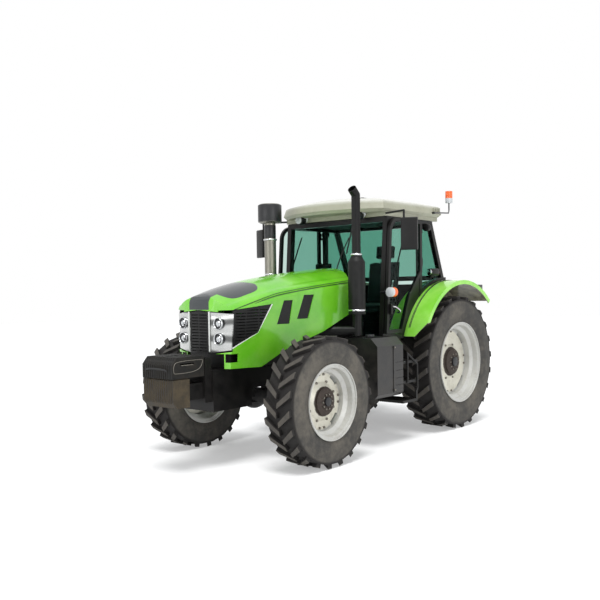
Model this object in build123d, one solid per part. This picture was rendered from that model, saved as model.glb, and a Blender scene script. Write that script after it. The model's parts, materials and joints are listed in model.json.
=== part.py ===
from build123d import *
import math
import os

# A four-wheel-drive farm tractor with cab, in millimetres, +Z up.
# The origin is on the ground under the middle of its length; it drives towards -Y
# and its left-hand side is +X.

# ---- wheels and axles -------------------------------------------------------
FRONT_AXLE_Y = -1270.0
WHEELBASE = 2800.0
REAR_AXLE_Y = FRONT_AXLE_Y + WHEELBASE
FRONT_TYRE_R = 668.0
FRONT_TYRE_W = 370.0
FRONT_BEAD_R = 355.6
FRONT_RIM_W = 360.0
FRONT_WHEEL_X = 930.0
FRONT_DISC_X = 15.0
FRONT_HUB_R = 140.0
REAR_TYRE_R = 850.0
REAR_TYRE_W = 450.0
REAR_BEAD_R = 482.6
REAR_RIM_W = 420.0
REAR_WHEEL_X = 791.0
REAR_DISC_X = 25.0
REAR_HUB_R = 165.0
LUG_H = 42.0
LUG_ROOT = 46.0
SHOULDER = 20.0
FRONT_LUGS = 22
REAR_LUGS = 24
# One lug seen from outside, as (distance across the tread, distance along it)
FRONT_LUG = [(6.0, 92.0), (161.0, -24.0), (161.0, -88.0), (6.0, 40.0)]
REAR_LUG = [(6.0, 100.0), (201.0, -34.0), (201.0, -102.0), (6.0, 46.0)]
RIM_FLANGE = 30.0
RIM_LOBES = 4
LOBE_GAP_ANGLE = 26.0
LOBE_GAP_DEPTH = 34.0
RIM_WELL = 46.0
RIM_WALL = 10.0
RIM_LIP = 20.0
BEAD_GAP = 3.0
DISC_WALL = 14.0
HUB_GAP = 6.0
KINGPIN_X = 700.0
KINGPIN_R = 30.0
YOKE_H = 110.0
STEER_ARM = 240.0
ROD_R = 19.0
TRUMPET_R = 140.0

# ---- chassis ----------------------------------------------------------------
FRAME_W = 500.0
FRAME_FRONT_Y = -2100.0
FRAME_REAR_Y = -620.0
FRAME_RAIL = 40.0
FRAME_Z0 = 600.0
FRAME_Z1 = 1010.0
WEIGHT_FRONT_Y = -2595.0
WEIGHT_W = 440.0
WEIGHT_COUNT = 14
WEIGHT_GAP = 8.0
WEIGHT_GROOVE = 12.0
WEIGHT_SPLIT_Z = 953.0
WEIGHT_SLOT_Y0 = -2490.0
WEIGHT_SLOT_Y1 = -2320.0
WEIGHT_SLOT_Z = 1100.0
WEIGHT_SLOT_H = 16.0
WEIGHT_Z0 = 680.0
WEIGHT_Z1 = 1168.0
ENGINE_W = 600.0
ENGINE_Y0 = -1560.0
ENGINE_Y1 = -330.0
ENGINE_Z1 = 1500.0
GEARBOX_W = 520.0
GEARBOX_Y1 = 1700.0
GEARBOX_Z0 = 500.0
GEARBOX_Z1 = 1000.0

# ---- hood -------------------------------------------------------------------
HOOD_WALL = 12.0
HOOD_NOSE_Y = -2056.0
HOOD_CORNER_X = 410.0
HOOD_CORNER_Y = -1965.0
HOOD_REAR_Y = 80.0
HOOD_SIDE_REAR_Y = -170.0
HOOD_PANEL_GAP = 3.0
HOOD_RECESS = 6.0
HOOD_SECTIONS = [
    # y, half width at the bottom, half width at the shoulder, shoulder z, crown z
    (-2120.0, 365.0, 405.0, 1575.0, 1715.0),
    (-1600.0, 375.0, 430.0, 1705.0, 1868.0),
    (-1000.0, 395.0, 450.0, 1812.0, 1963.0),
    (-450.0, 415.0, 464.0, 1873.0, 2022.0),
    (100.0, 430.0, 472.0, 1921.0, 2060.0),
]
HOOD_LOWER_EDGE = [(-2200, 1030), (-1545, 1011), (-1195, 1166), (-584, 1332), (200, 1640)]
HOOD_VENTS = [
    # top front y, top rear y, top z, bottom front y, bottom rear y, bottom z
    (-1248.0, -1109.0, 1690.0, -1342.0, -1147.0, 1440.0),
    (-932.0, -766.0, 1745.0, -1032.0, -851.0, 1486.0),
]
HOOD_HINGE_Y = 10.0
HOOD_HINGE_Z = 1995.0
GRILLE_HALF_W = 135.0
GRILLE_Z0 = 1170.0
GRILLE_Z1 = 1606.0
HEADLAMP_Z0 = 1215.0
HEADLAMP_Z1 = 1570.0
HEADLAMP_DEPTH = 70.0
LAMP_BOWL_R = 62.0
LAMP_BOWL_DEPTH = 30.0
SLOT_H = 9.0
SLOT_PITCH = 30.0
SLOT_RIB = 14.0
SIDE_SLOT_LENGTH = 180.0
SLOT_MARGIN = 22.0
HINGE_PIN_R = 8.0
HINGE_LUG_X = 138.0
HINGE_LUG_T = 18.0

# ---- cab --------------------------------------------------------------------
CAB_SIDE_X = 770.0
PILLAR = 60.0
CAB_FLOOR_Z = 1060.0
CAB_FLOOR_T = 40.0
CAB_SILL_Z = 1235.0
CAB_TOP_Z = 2645.0
A_FOOT_Y = 135.0
A_HEAD_Y = 245.0
B_Y = 940.0
C_FOOT_Y = 1485.0
C_HEAD_Y = 1190.0
C_FOOT_Z = 1890.0
CAB_NARROW_Y = 600.0
CAB_WAIST_X = 525.0
GLASS = 8.0
ROOF_HALF_W = 822.0
ROOF_FRONT_HALF_W = 775.0
ROOF_FRONT_Y = 130.0
ROOF_REAR_Y = 1355.0
ROOF_BOW = 190.0
ROOF_Z0 = 2650.0
ROOF_WIDE_Z = 2735.0
ROOF_SIDE_Z = 2830.0
ROOF_Z1 = 2885.0
ROOF_RIBS = 4
ROOF_RIB_PITCH = 40.0
DOOR_X = 780.0
DOOR_T = 35.0
DOOR_FRAME_W = 45.0
DOOR_HINGE_X = 800.0
DOOR_HINGE_Y = 915.0
DOOR_HINGE_R = 12.0
DOOR_PIN_R = 7.0
DOOR_HINGE_ZS = (2110.0, 2510.0)
DOOR_FRONT = [(110.0, 1275.0), (205.0, 2635.0), (900.0, 2635.0)]
# Edges that follow the fender, as (angle about the rear axle, gap to the fender)
DOOR_ARCH = [(118.7, 261.0), (136.3, 181.0), (158.3, 101.5)]
QUARTER_ARCH = [(158.15, 92.0), (135.66, 173.4), (118.25, 255.5)]
DOOR_CORNER_R = 180.0
DOOR_AJAR = 8.0
FENDER_R = 1050.0
FENDER_WALL = 12.0
FENDER_X0 = 530.0
FENDER_X1 = 1050.0
FENDER_FRONT_ANGLE = 159.0
FENDER_REAR_ANGLE = 48.0

# ---- stacks, tank and rear linkage --------------------------------------------
STACK_X = 660.0
STACK_Y = -255.0
MUFFLER_R = 97.5
TAILPIPE_R = 50.0
INTAKE_R = 72.0
BOWL_R = 145.0
BOWL_Z0 = 2630.0
BOWL_Z1 = 2870.0
MUFFLER_Z0 = 1515.0
MUFFLER_Z1 = 2167.0
TAILPIPE_TOP = 2860.0
BEACON_X = 795.0
BEACON_Y = 1600.0
BEACON_Z0 = 2904.0
BEACON_Z1 = 3055.0
BEACON_R = 46.0
MARKER_X = 905.0
MARKER_Y = 90.0
MARKER_Z = 1760.0
MARKER_R = 56.0
MIRROR_X = 1142.0
MIRROR_Y = 100.0
MIRROR_TURN = 22.0
TANK_X0 = 560.0
TANK_X1 = 1000.0
TANK_Y0 = -350.0
TANK_Y1 = 165.0
TANK_Z0 = 580.0
TANK_Z1 = 1250.0
TANK_RIDGES = (705.0, 785.0, 872.0, 965.0)
TANK_RIDGE_DEPTH = 8.0
TANK_STRAP_Y = -24.0
TANK_STRAP_W = 30.0
LINK_PIVOT_Y = 1660.0
LINK_PIVOT_Z = 620.0
LINK_EYE_Y = 2545.0
LINK_ROD_Y = 2080.0
LINK_X = 405.0
LINK_T = 24.0
LINK_EYE_R = 50.0
LINK_EYE_W = 45.0
LINK_BORE_R = 18.5
LIFT_SHAFT_Z = 1170.0
LIFT_ROD_X = 362.0
LIFT_PIN_R = 12.0
DRAWBAR_Z = 440.0
DRAWBAR_T = 40.0
DRAWBAR_PIN_Y = 2300.0
DRAWBAR_PIN_R = 16.5
TOP_LINK_Y = 1765.0
TOP_LINK_Z = 1010.0
TOP_LINK_EYE_Y = 2200.0
TOP_LINK_EYE_Z = 1529.0
TOP_LINK_HALF_W = 26.0
TOP_LINK_BORE_R = 16.0
PTO_Z = 700.0
PTO_R = 17.5
PTO_Y0 = 1780.0
PTO_Y1 = 1900.0


# ---- small builders -----------------------------------------------------------
def block(x0, x1, y0, y1, z0, z1):
    return Pos((x0 + x1) / 2, (y0 + y1) / 2, (z0 + z1) / 2) * Box(x1 - x0, y1 - y0, z1 - z0)


def rod(start, end, radius):
    """A round bar from one point to another."""
    axis = Vector(end) - Vector(start)
    return extrude(Plane(origin=start, z_dir=axis) * Circle(radius), axis.length)


def tube(points, radius):
    """A round bar through several points, with a ball at each bend."""
    shape = Part()
    for start, end in zip(points, points[1:]):
        shape += rod(start, end, radius)
    for point in points[1:-1]:
        shape += Pos(*point) * Sphere(radius)
    return shape


def beam(start, end, width, depth):
    """A square bar from one point to another, its width along X where it can be."""
    axis = Vector(*end) - Vector(*start)
    side = (1, 0, 0) if abs(axis.X) < 0.9 * axis.length else (0, 1, 0)
    across = Vector(*side) - axis * (Vector(*side).dot(axis) / axis.length ** 2)
    plane = Plane(origin=start, x_dir=across, z_dir=axis)
    return extrude(plane * Rectangle(width, depth), axis.length)


def prism_x(points, x0, x1):
    """An outline of (y, z) points, pushed along X."""
    return extrude(Plane.YZ.offset(x0) * make_face(Polyline(*points, close=True)), x1 - x0)


def prism_y(points, y0, y1):
    """An outline of (x, z) points, pushed along Y."""
    plane = Plane(origin=(0, y1, 0), x_dir=(1, 0, 0), z_dir=(0, -1, 0))
    return extrude(plane * make_face(Polyline(*points, close=True)), y1 - y0)


def prism_z(points, z0, z1):
    """An outline of (x, y) points, pushed along Z."""
    return extrude(Plane.XY.offset(z0) * make_face(Polyline(*points, close=True)), z1 - z0)


def spin_x(points):
    """An outline of (x, radius) points, turned about the X axis."""
    return revolve(make_face(Polyline(*points, close=True)), axis=Axis.X)


def spin_z(points, x, y):
    """An outline of (radius, z) points, turned about an upright line."""
    face = Plane.XZ * make_face(Polyline(*points, close=True))
    return Pos(x, y, 0) * revolve(face, axis=Axis.Z)


def mirrored(shape):
    return mirror(shape, about=Plane.YZ)


def both_sides(shape):
    return shape + mirrored(shape)


def polar(radius, angle):
    """A (y, z) point at an angle about the rear axle, 0 to the rear and 90 up."""
    turn = math.radians(angle)
    return (REAR_AXLE_Y + radius * math.cos(turn), REAR_TYRE_R + radius * math.sin(turn))


def arc_band(r0, r1, angle0, angle1, x0, x1):
    """A band about the rear axle, between two radii and two angles."""
    mid = (angle0 + angle1) / 2
    edges = Curve() + [
        ThreePointArc(polar(r1, angle0), polar(r1, mid), polar(r1, angle1)),
        Line(polar(r1, angle1), polar(r0, angle1)),
        ThreePointArc(polar(r0, angle1), polar(r0, mid), polar(r0, angle0)),
        Line(polar(r0, angle0), polar(r1, angle0)),
    ]
    return extrude(Plane.YZ.offset(x0) * make_face(edges), x1 - x0)


# ---- wheels, about the X axis with the outer side to +X -----------------------
def tread_ring(count, radius, x):
    return Plane(origin=(x, 0, 0), x_dir=(0, 1, 0), z_dir=(1, 0, 0)) * RegularPolygon(radius, count)


def tyre(radius, width, bead_r, rim_w, lugs, lug_plan):
    """A carcass with two staggered rows of lugs, fused to it by their roots."""
    half = width / 2
    crown = radius - LUG_H
    flank = [(rim_w / 2 - RIM_LIP - BEAD_GAP, bead_r + 12), (half, bead_r + 0.45 * (crown - bead_r)), (half - 12, crown - 60)]
    flank += [(half - SHOULDER, crown)]
    stations = flank + [(-x, r) for x, r in reversed(flank)]
    carcass = loft([tread_ring(lugs, r, x) for x, r in stations], ruled=True)
    carcass -= extrude(Plane.YZ.offset(-half) * Circle(bead_r), width)
    reach = max(abs(along) for across, along in lug_plan)
    top = math.sqrt(radius ** 2 - reach ** 2)
    root = crown - LUG_ROOT
    bars = []
    for i in range(2 * lugs):
        side = 1 if i % 2 else -1
        turn = math.radians(180.0 * i / lugs)
        out = Vector(0, math.cos(turn), math.sin(turn))
        plane = Plane(origin=out * root, x_dir=(1, 0, 0), z_dir=out)
        outline = [(side * across, -along) for across, along in lug_plan]
        bars.append(extrude(plane * make_face(Polyline(*outline, close=True)), top - root))
    return carcass.fuse(*bars)


def rim(width, bead_r, disc_x, hub_r, hub_x0, hub_x1):
    half = width / 2
    well = bead_r - RIM_WELL
    outer = [(half, bead_r + RIM_FLANGE), (half - 14, bead_r + RIM_FLANGE), (half - RIM_LIP, bead_r)]
    outer += [(half - 80, bead_r - 8), (half - 110, well)]
    outer += [(-x, r) for x, r in reversed(outer)]
    inner = [(x + (RIM_WALL if x < 0 else -RIM_WALL) * 0.6, r - RIM_WALL) for x, r in reversed(outer[1:-1])]
    inner = [(-half, bead_r + RIM_FLANGE - RIM_WALL)] + inner + [(half, bead_r + RIM_FLANGE - RIM_WALL)]
    ring = spin_x(outer + inner)
    dish = [(disc_x + 40, hub_r), (disc_x, hub_r + 60), (disc_x, well - RIM_WALL + 2)]
    dish += [(x - DISC_WALL, r) for x, r in reversed(dish)]
    disc = spin_x(dish)
    rim_r = well - RIM_WALL
    half_gap = math.radians(LOBE_GAP_ANGLE / 2)
    far = 2 * rim_r
    wedge = make_face(Polyline((0, 0), (far, -far * math.tan(half_gap)),
                               (far, far * math.tan(half_gap)), close=True))
    sector = wedge & (Circle(rim_r + 20) - Circle(rim_r - LOBE_GAP_DEPTH))
    notch = extrude(Plane.YZ.offset(disc_x - DISC_WALL - 5) * sector, DISC_WALL + 10)
    for i in range(RIM_LOBES):
        disc -= Rot((i + 0.5) * 360 / RIM_LOBES, 0, 0) * notch
    hub = spin_x([(hub_x0, 0), (hub_x1, 0), (hub_x1, hub_r * 0.75), (disc_x + 60, hub_r), (hub_x0, hub_r)])
    return ring + disc + hub


def wheel(shape, x, y, z, side):
    placed = Pos(x, y, z) * shape
    return placed if side > 0 else mirrored(placed)


# ---- front axle, knuckles and steering ----------------------------------------
FRONT_Z = FRONT_TYRE_R
REAR_Z = REAR_TYRE_R
KNUCKLE_FACE_X = 880.0
YOKE_T = 32.0
YOKE_GAP = 5.0
YOKE_WALL_X = 795.0


def front_axle_beam():
    half_beam = block(0, KINGPIN_X, FRONT_AXLE_Y - 75, FRONT_AXLE_Y + 75, FRONT_Z - 70, FRONT_Z + 70)
    diff = Pos(0, FRONT_AXLE_Y, FRONT_Z) * Sphere(150)
    diff = diff & block(-200, 200, FRONT_AXLE_Y - 160, FRONT_AXLE_Y + 200, FRONT_Z - 160, FRAME_Z0)
    head = rod((KINGPIN_X, FRONT_AXLE_Y, FRONT_Z - YOKE_H), (KINGPIN_X, FRONT_AXLE_Y, FRONT_Z + YOKE_H), 75)
    reach = YOKE_H + YOKE_GAP + YOKE_T
    pin = rod((KINGPIN_X, FRONT_AXLE_Y, FRONT_Z - reach), (KINGPIN_X, FRONT_AXLE_Y, FRONT_Z + reach),
              KINGPIN_R)
    barrel = rod((-170, FRONT_AXLE_Y + STEER_ARM, ROD_Z), (170, FRONT_AXLE_Y + STEER_ARM, ROD_Z), 42)
    barrel -= rod((-171, FRONT_AXLE_Y + STEER_ARM, ROD_Z), (171, FRONT_AXLE_Y + STEER_ARM, ROD_Z),
                  ROD_R + 0.1)
    saddle = block(-120, 120, FRONT_AXLE_Y + 70, FRONT_AXLE_Y + STEER_ARM - 38, ROD_Z - 30, ROD_Z + 30)
    return both_sides(half_beam + head + pin) + diff + barrel + saddle


ROD_Z = FRONT_Z - 30.0
ARM_T = 28.0
EYE_GAP = 3.0


def knuckle():
    """The left knuckle: a yoke round the end of the beam, a hub carrier and a steering arm."""
    low = FRONT_Z - YOKE_H - YOKE_GAP
    high = FRONT_Z + YOKE_H + YOKE_GAP
    plates = block(KINGPIN_X, YOKE_WALL_X, FRONT_AXLE_Y - 62, FRONT_AXLE_Y + 62, low - YOKE_T, high + YOKE_T)
    plates += rod((KINGPIN_X, FRONT_AXLE_Y, low - YOKE_T), (KINGPIN_X, FRONT_AXLE_Y, high + YOKE_T), 62)
    gap = block(KINGPIN_X - 200, YOKE_WALL_X, FRONT_AXLE_Y - 200, FRONT_AXLE_Y + 200, low, high)
    bore = rod((KINGPIN_X, FRONT_AXLE_Y, low - 100), (KINGPIN_X, FRONT_AXLE_Y, high + 100), KINGPIN_R + 0.5)
    wall = block(YOKE_WALL_X - 0.01, YOKE_WALL_X + 30, FRONT_AXLE_Y - 90, FRONT_AXLE_Y + 90,
                 low - YOKE_T, high + YOKE_T)
    carrier = rod((YOKE_WALL_X + 20, FRONT_AXLE_Y, FRONT_Z), (KNUCKLE_FACE_X, FRONT_AXLE_Y, FRONT_Z),
                  FRONT_HUB_R)
    eye = (KINGPIN_X, FRONT_AXLE_Y + STEER_ARM)
    arm_z0 = ROD_Z + ROD_R + EYE_GAP + 6
    outline = [(YOKE_WALL_X + 5, FRONT_AXLE_Y + 88), (YOKE_WALL_X + 30, FRONT_AXLE_Y + 60)]
    outline += [(YOKE_WALL_X + 30, FRONT_AXLE_Y + 110), (eye[0] + 30, eye[1] + 10),
                (eye[0] - 20, eye[1] - 30)]
    outline += [(eye[0] + 20, FRONT_AXLE_Y + 120)]
    arm = prism_z([outline[1], outline[2], outline[3], outline[4], outline[5], outline[0]], arm_z0,
                  arm_z0 + ARM_T)
    arm += rod((eye[0], eye[1], arm_z0), (eye[0], eye[1], arm_z0 + ARM_T), 34)
    return plates - gap - bore + wall + carrier + arm


def steering_rod():
    y = FRONT_AXLE_Y + STEER_ARM
    bar = rod((-KINGPIN_X + 25, y, ROD_Z), (KINGPIN_X - 25, y, ROD_Z), ROD_R)
    eye = rod((KINGPIN_X, y, ROD_Z - ROD_R - 4), (KINGPIN_X, y, ROD_Z + ROD_R + 4), 32)
    return bar + both_sides(eye)


# ---- chassis --------------------------------------------------------------------
def front_frame():
    body = block(-FRAME_W / 2, FRAME_W / 2, FRAME_FRONT_Y, ENGINE_Y0, FRAME_Z0, FRAME_Z1)
    arch = [(ENGINE_Y0, FRAME_Z0 + 230), (FRAME_REAR_Y, FRAME_Z0 + 230), (FRAME_REAR_Y, FRAME_Z1 - 60)]
    arch += [(ENGINE_Y0, FRAME_Z1)]
    rail = prism_x(arch, FRAME_W / 2 - FRAME_RAIL, FRAME_W / 2)
    post = block(-120, 120, FRONT_AXLE_Y - 260, FRONT_AXLE_Y - 170, FRONT_Z - 30, FRAME_Z0 + 260)
    nose = block(-FRAME_W / 2 + 25, FRAME_W / 2 - 25, -2185, FRAME_FRONT_Y, 700, FRAME_Z1 + 130)
    lip = block(-FRAME_W / 2 + 60, FRAME_W / 2 - 60, -2375, -2185, 740, 900)
    return body + nose + lip + both_sides(rail)


def front_weights():
    upper = [(WEIGHT_FRONT_Y, WEIGHT_SPLIT_Z + 12), (WEIGHT_FRONT_Y, WEIGHT_Z1 - 70),
             (WEIGHT_FRONT_Y + 60, WEIGHT_Z1)]
    upper += [(-2190, WEIGHT_Z1), (-2190, WEIGHT_SPLIT_Z + 12)]
    lower = [(WEIGHT_FRONT_Y + 10, WEIGHT_Z0 + 60), (WEIGHT_FRONT_Y + 10, WEIGHT_SPLIT_Z),
             (-2380, WEIGHT_SPLIT_Z)]
    lower += [(-2380, WEIGHT_Z0), (WEIGHT_FRONT_Y + 60, WEIGHT_Z0)]
    stack = prism_x(upper, -WEIGHT_W / 2, WEIGHT_W / 2) + prism_x(lower, -WEIGHT_W / 2, WEIGHT_W / 2)
    stack += block(-WEIGHT_W / 2 + 20, WEIGHT_W / 2 - 20, WEIGHT_FRONT_Y + 30, -2380,
                   WEIGHT_SPLIT_Z - 1, WEIGHT_SPLIT_Z + 13)
    pitch = (WEIGHT_W + WEIGHT_GAP) / WEIGHT_COUNT
    keep = block(-WEIGHT_W / 2 + 1, WEIGHT_W / 2 - 1, WEIGHT_FRONT_Y + WEIGHT_GROOVE + 10, -2190,
                 WEIGHT_Z0 + 5, WEIGHT_Z1 - 30)
    for i in range(1, WEIGHT_COUNT):
        x = -WEIGHT_W / 2 - WEIGHT_GAP / 2 + i * pitch
        groove = block(x - WEIGHT_GAP / 2, x + WEIGHT_GAP / 2, WEIGHT_FRONT_Y - 1, -2189, WEIGHT_Z0 - 1,
                       WEIGHT_Z1 + 1)
        stack -= groove - keep
    slot_z0 = WEIGHT_SLOT_Z - WEIGHT_SLOT_H / 2
    slot = block(-WEIGHT_W, WEIGHT_W, WEIGHT_SLOT_Y0, WEIGHT_SLOT_Y1, slot_z0, slot_z0 + WEIGHT_SLOT_H)
    return stack - slot


def engine_block():
    half = ENGINE_W / 2
    low_half = FRAME_W / 2 - FRAME_RAIL
    low = block(-low_half, low_half, ENGINE_Y0, ENGINE_Y1, FRAME_Z1 - 330, FRAME_Z1)
    low -= block(-half, half, FRONT_AXLE_Y - 200, FRONT_AXLE_Y + 330, 0, FRONT_Z + 110)
    high = block(-half, half, ENGINE_Y0 + 60, ENGINE_Y1, FRAME_Z1, ENGINE_Z1)
    return low + high


def transmission_housing():
    half = GEARBOX_W / 2
    body = block(-half, half, ENGINE_Y1, GEARBOX_Y1, GEARBOX_Z0, GEARBOX_Z1)
    lift = block(-half + 60, half - 60, REAR_AXLE_Y + 60, GEARBOX_Y1, GEARBOX_Z1, LIFT_SHAFT_Z + 60)
    trumpet = rod((half - 1, REAR_AXLE_Y, REAR_Z), (REAR_WHEEL_X - 130, REAR_AXLE_Y, REAR_Z), TRUMPET_R)
    flange = rod((REAR_WHEEL_X - 150, REAR_AXLE_Y, REAR_Z), (REAR_WHEEL_X - 110, REAR_AXLE_Y, REAR_Z),
                 REAR_HUB_R + 10)
    bracket = block(half - 1, half + 40, LINK_PIVOT_Y - 60, GEARBOX_Y1, LINK_PIVOT_Z - 70, LINK_PIVOT_Z + 70)
    pivot = rod((half, LINK_PIVOT_Y, LINK_PIVOT_Z),
                (LINK_X + LINK_T / 2 + 12, LINK_PIVOT_Y, LINK_PIVOT_Z), LIFT_PIN_R + 4)
    return body + lift + both_sides(trumpet + flange + bracket + pivot) + top_link_bracket()


# ---- hood -------------------------------------------------------------------------
def hood_section(y, low_x, shoulder_x, shoulder_z, crown_z, inset):
    """One closed outline of the hood across the tractor."""
    base = 900.0
    foot = low_x - inset
    side = (shoulder_x - inset, shoulder_z - 60)
    knee = (shoulder_x - 20 - inset, shoulder_z + 4 - inset * 0.7)
    top = (shoulder_x - 85, shoulder_z + 0.3 * (crown_z - shoulder_z) - inset)
    flip = [(-x, z) for x, z in (side, knee, top)]
    edges = Curve() + [
        Line((foot, base), side),
        ThreePointArc(side, knee, top),
        ThreePointArc(top, (0, crown_z - inset), flip[2]),
        ThreePointArc(flip[2], flip[1], flip[0]),
        Line(flip[0], (-foot, base)),
        Line((-foot, base), (foot, base)),
    ]
    return Plane(origin=(0, y, 0), x_dir=(1, 0, 0), z_dir=(0, -1, 0)) * make_face(edges)


def hood_form(inset):
    """The solid form of the hood, drawn in from its outer face by an inset."""
    skin = loft([hood_section(*row, inset) for row in HOOD_SECTIONS])
    nose = HOOD_NOSE_Y + inset
    corner = HOOD_CORNER_Y + inset
    plan = Curve() + [
        ThreePointArc((-HOOD_CORNER_X, corner), (0, nose), (HOOD_CORNER_X, corner)),
        Polyline((HOOD_CORNER_X, corner), (600, corner + 70), (600, 300), (-600, 300), (-600, corner + 70),
                 (-HOOD_CORNER_X, corner)),
    ]
    brow = Curve() + [
        ThreePointArc((nose - 4, 1600), (nose + 26, 1715 - inset), (nose + 110, 1795 - inset)),
        Polyline((nose + 110, 1795 - inset), (nose + 110, 2200), (300, 2200), (300, 900), (nose - 4, 900),
                 (nose - 4, 1600)),
    ]
    form = skin & extrude(Plane.XY.offset(800) * make_face(plan), 1500)
    return form & extrude(Plane.YZ.offset(-700) * make_face(brow), 1400)


HOOD_PANEL = [(-2120, 1596), (-1970, 1606), (-1420, 1656), (-1608, 1364), (-1980, 1216), (-2120, 1160)]
NOSE_OPENING = [(-450, 1200), (-180, 1165), (180, 1165), (450, 1200), (450, 1570), (0, 1608), (-450, 1570)]


def vent_outline(row, margin):
    top_front, top_rear, top_z, low_front, low_rear, low_z = row
    outline = [(top_front + margin, top_z - margin), (top_rear - margin, top_z - margin)]
    return outline + [(low_rear - margin, low_z + margin), (low_front + margin, low_z + margin)]


def hood_shell():
    shell = hood_form(0) - hood_form(HOOD_WALL)
    shell &= prism_x(HOOD_LOWER_EDGE + [(200, 2200), (-2200, 2200)], -700, 700)
    rear = Curve() + [
        ThreePointArc((-480, HOOD_SIDE_REAR_Y), (0, HOOD_REAR_Y), (480, HOOD_SIDE_REAR_Y)),
        Polyline((480, HOOD_SIDE_REAR_Y), (480, 400), (-480, 400), (-480, HOOD_SIDE_REAR_Y)),
    ]
    shell -= extrude(Plane.XY.offset(900) * make_face(rear), 1300)
    shell -= prism_y(NOSE_OPENING, -2200, -1950)
    shell -= prism_y([(-312, 900), (312, 900), (312, 1170), (-312, 1170)], -2200, -1900)
    for side in (-1, 1):
        reach = sorted((side * 250, side * 650))
        shell -= prism_x(HOOD_PANEL, *reach)
        shell -= block(*reach, -2000, -1880, 1085, 1170)
        for row in HOOD_VENTS:
            shell -= prism_x(vent_outline(row, 0), *reach)
    return shell + hood_hinge_lugs()


def hood_hinge_lugs():
    """Two lugs under the rear of the hood, bored for the bracket's pins."""
    y, z = HOOD_HINGE_Y, HOOD_HINGE_Z
    x0, x1 = HINGE_LUG_X, HINGE_LUG_X + HINGE_LUG_T
    lug = prism_x([(y - 16, z), (y + 16, z), (y + 24, z + 90), (y - 24, z + 90)], x0, x1)
    lug &= hood_form(HOOD_WALL - 1)
    lug += rod((x0, y, z), (x1, y, z), 2 * HINGE_PIN_R)
    lug -= rod((x0 - 1, y, z), (x1 + 1, y, z), HINGE_PIN_R + 0.2)
    return both_sides(lug)


def hood_hinge_brackets():
    """Two goosenecks from the firewall to the hood's pins."""
    y, z = HOOD_HINGE_Y, HOOD_HINGE_Z
    wall = A_FOOT_Y - 25
    x0 = HINGE_LUG_X + HINGE_LUG_T + 2
    neck = [(wall + 1, 1860), (wall + 1, 1915), (y + 24, z - 26), (y + 12, z + 8), (y - 12, z + 8),
            (y - 12, z - 20)]
    bracket = prism_x(neck, x0, x0 + 14)
    bracket += rod((HINGE_LUG_X - 2, y, z), (x0 + 14, y, z), HINGE_PIN_R)
    return both_sides(bracket)


def hood_side_grilles():
    layer = hood_form(HOOD_RECESS) - hood_form(HOOD_RECESS + 14)
    panel = [(y + (g if y < -1700 else -g), z + (g if z < 1400 else -g)) for y,
             z in HOOD_PANEL for g in [HOOD_PANEL_GAP]]
    panel[0] = (-1952, panel[0][1])
    panel[1] = (-1950, panel[1][1])
    panel[4] = (-1950, 1231)
    panel[5] = (-1952, 1230)
    pieces = layer & prism_x(panel, 250, 650)
    field = extrude(Plane.YZ.offset(250) * offset(make_face(Polyline(*panel, close=True)),
                                                  -SLOT_MARGIN), 400)
    rows = []
    for i in range(int((HOOD_PANEL[2][1] - HOOD_PANEL[5][1]) / SLOT_PITCH)):
        z = HOOD_PANEL[5][1] + (i + 0.5) * SLOT_PITCH
        for column in range(3):
            y = -1960 + column * SIDE_SLOT_LENGTH
            rows.append(block(250, 650, y, y + SIDE_SLOT_LENGTH - SLOT_RIB, z, z + SLOT_H))
    pieces -= field & Compound(rows)
    for row in HOOD_VENTS:
        pieces += layer & prism_x(vent_outline(row, HOOD_PANEL_GAP), 250, 650)
    return both_sides(pieces)


def front_grille():
    layer = hood_form(HOOD_RECESS) - hood_form(HOOD_RECESS + 26)
    outline = [(-GRILLE_HALF_W, GRILLE_Z0), (GRILLE_HALF_W, GRILLE_Z0), (GRILLE_HALF_W, GRILLE_Z1 - 20)]
    outline += [(0, GRILLE_Z1 - 8), (-GRILLE_HALF_W, GRILLE_Z1 - 20)]
    grille = layer & prism_y(outline, -2200, -1900)
    inner = GRILLE_HALF_W - SLOT_MARGIN
    count = int((GRILLE_Z1 - GRILLE_Z0 - 2 * SLOT_MARGIN) / SLOT_PITCH)
    slots = []
    for i in range(count):
        z = GRILLE_Z0 + SLOT_MARGIN + i * SLOT_PITCH
        slots.append(block(SLOT_RIB / 2, inner, -2200, -1900, z, z + SLOT_H))
        slots.append(block(-inner, -SLOT_RIB / 2, -2200, -1900, z, z + SLOT_H))
    return grille - Compound(slots)


def headlamps():
    layer = hood_form(HOOD_RECESS) - hood_form(HOOD_RECESS + HEADLAMP_DEPTH)
    inner = GRILLE_HALF_W + HOOD_PANEL_GAP
    outline = [(inner, HEADLAMP_Z0 - 40), (430, HEADLAMP_Z0), (430, HEADLAMP_Z1 - 5),
               (inner, HEADLAMP_Z1 + 15)]
    return both_sides(layer & prism_y(outline, -2200, -1955))


def radiator():
    return block(-300, 300, -1900, -1780, FRAME_Z1, 1560)


# ---- cab --------------------------------------------------------------------------
PILLAR_X = CAB_SIDE_X - PILLAR / 2
FENDER_CLEAR = 3.0


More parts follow.
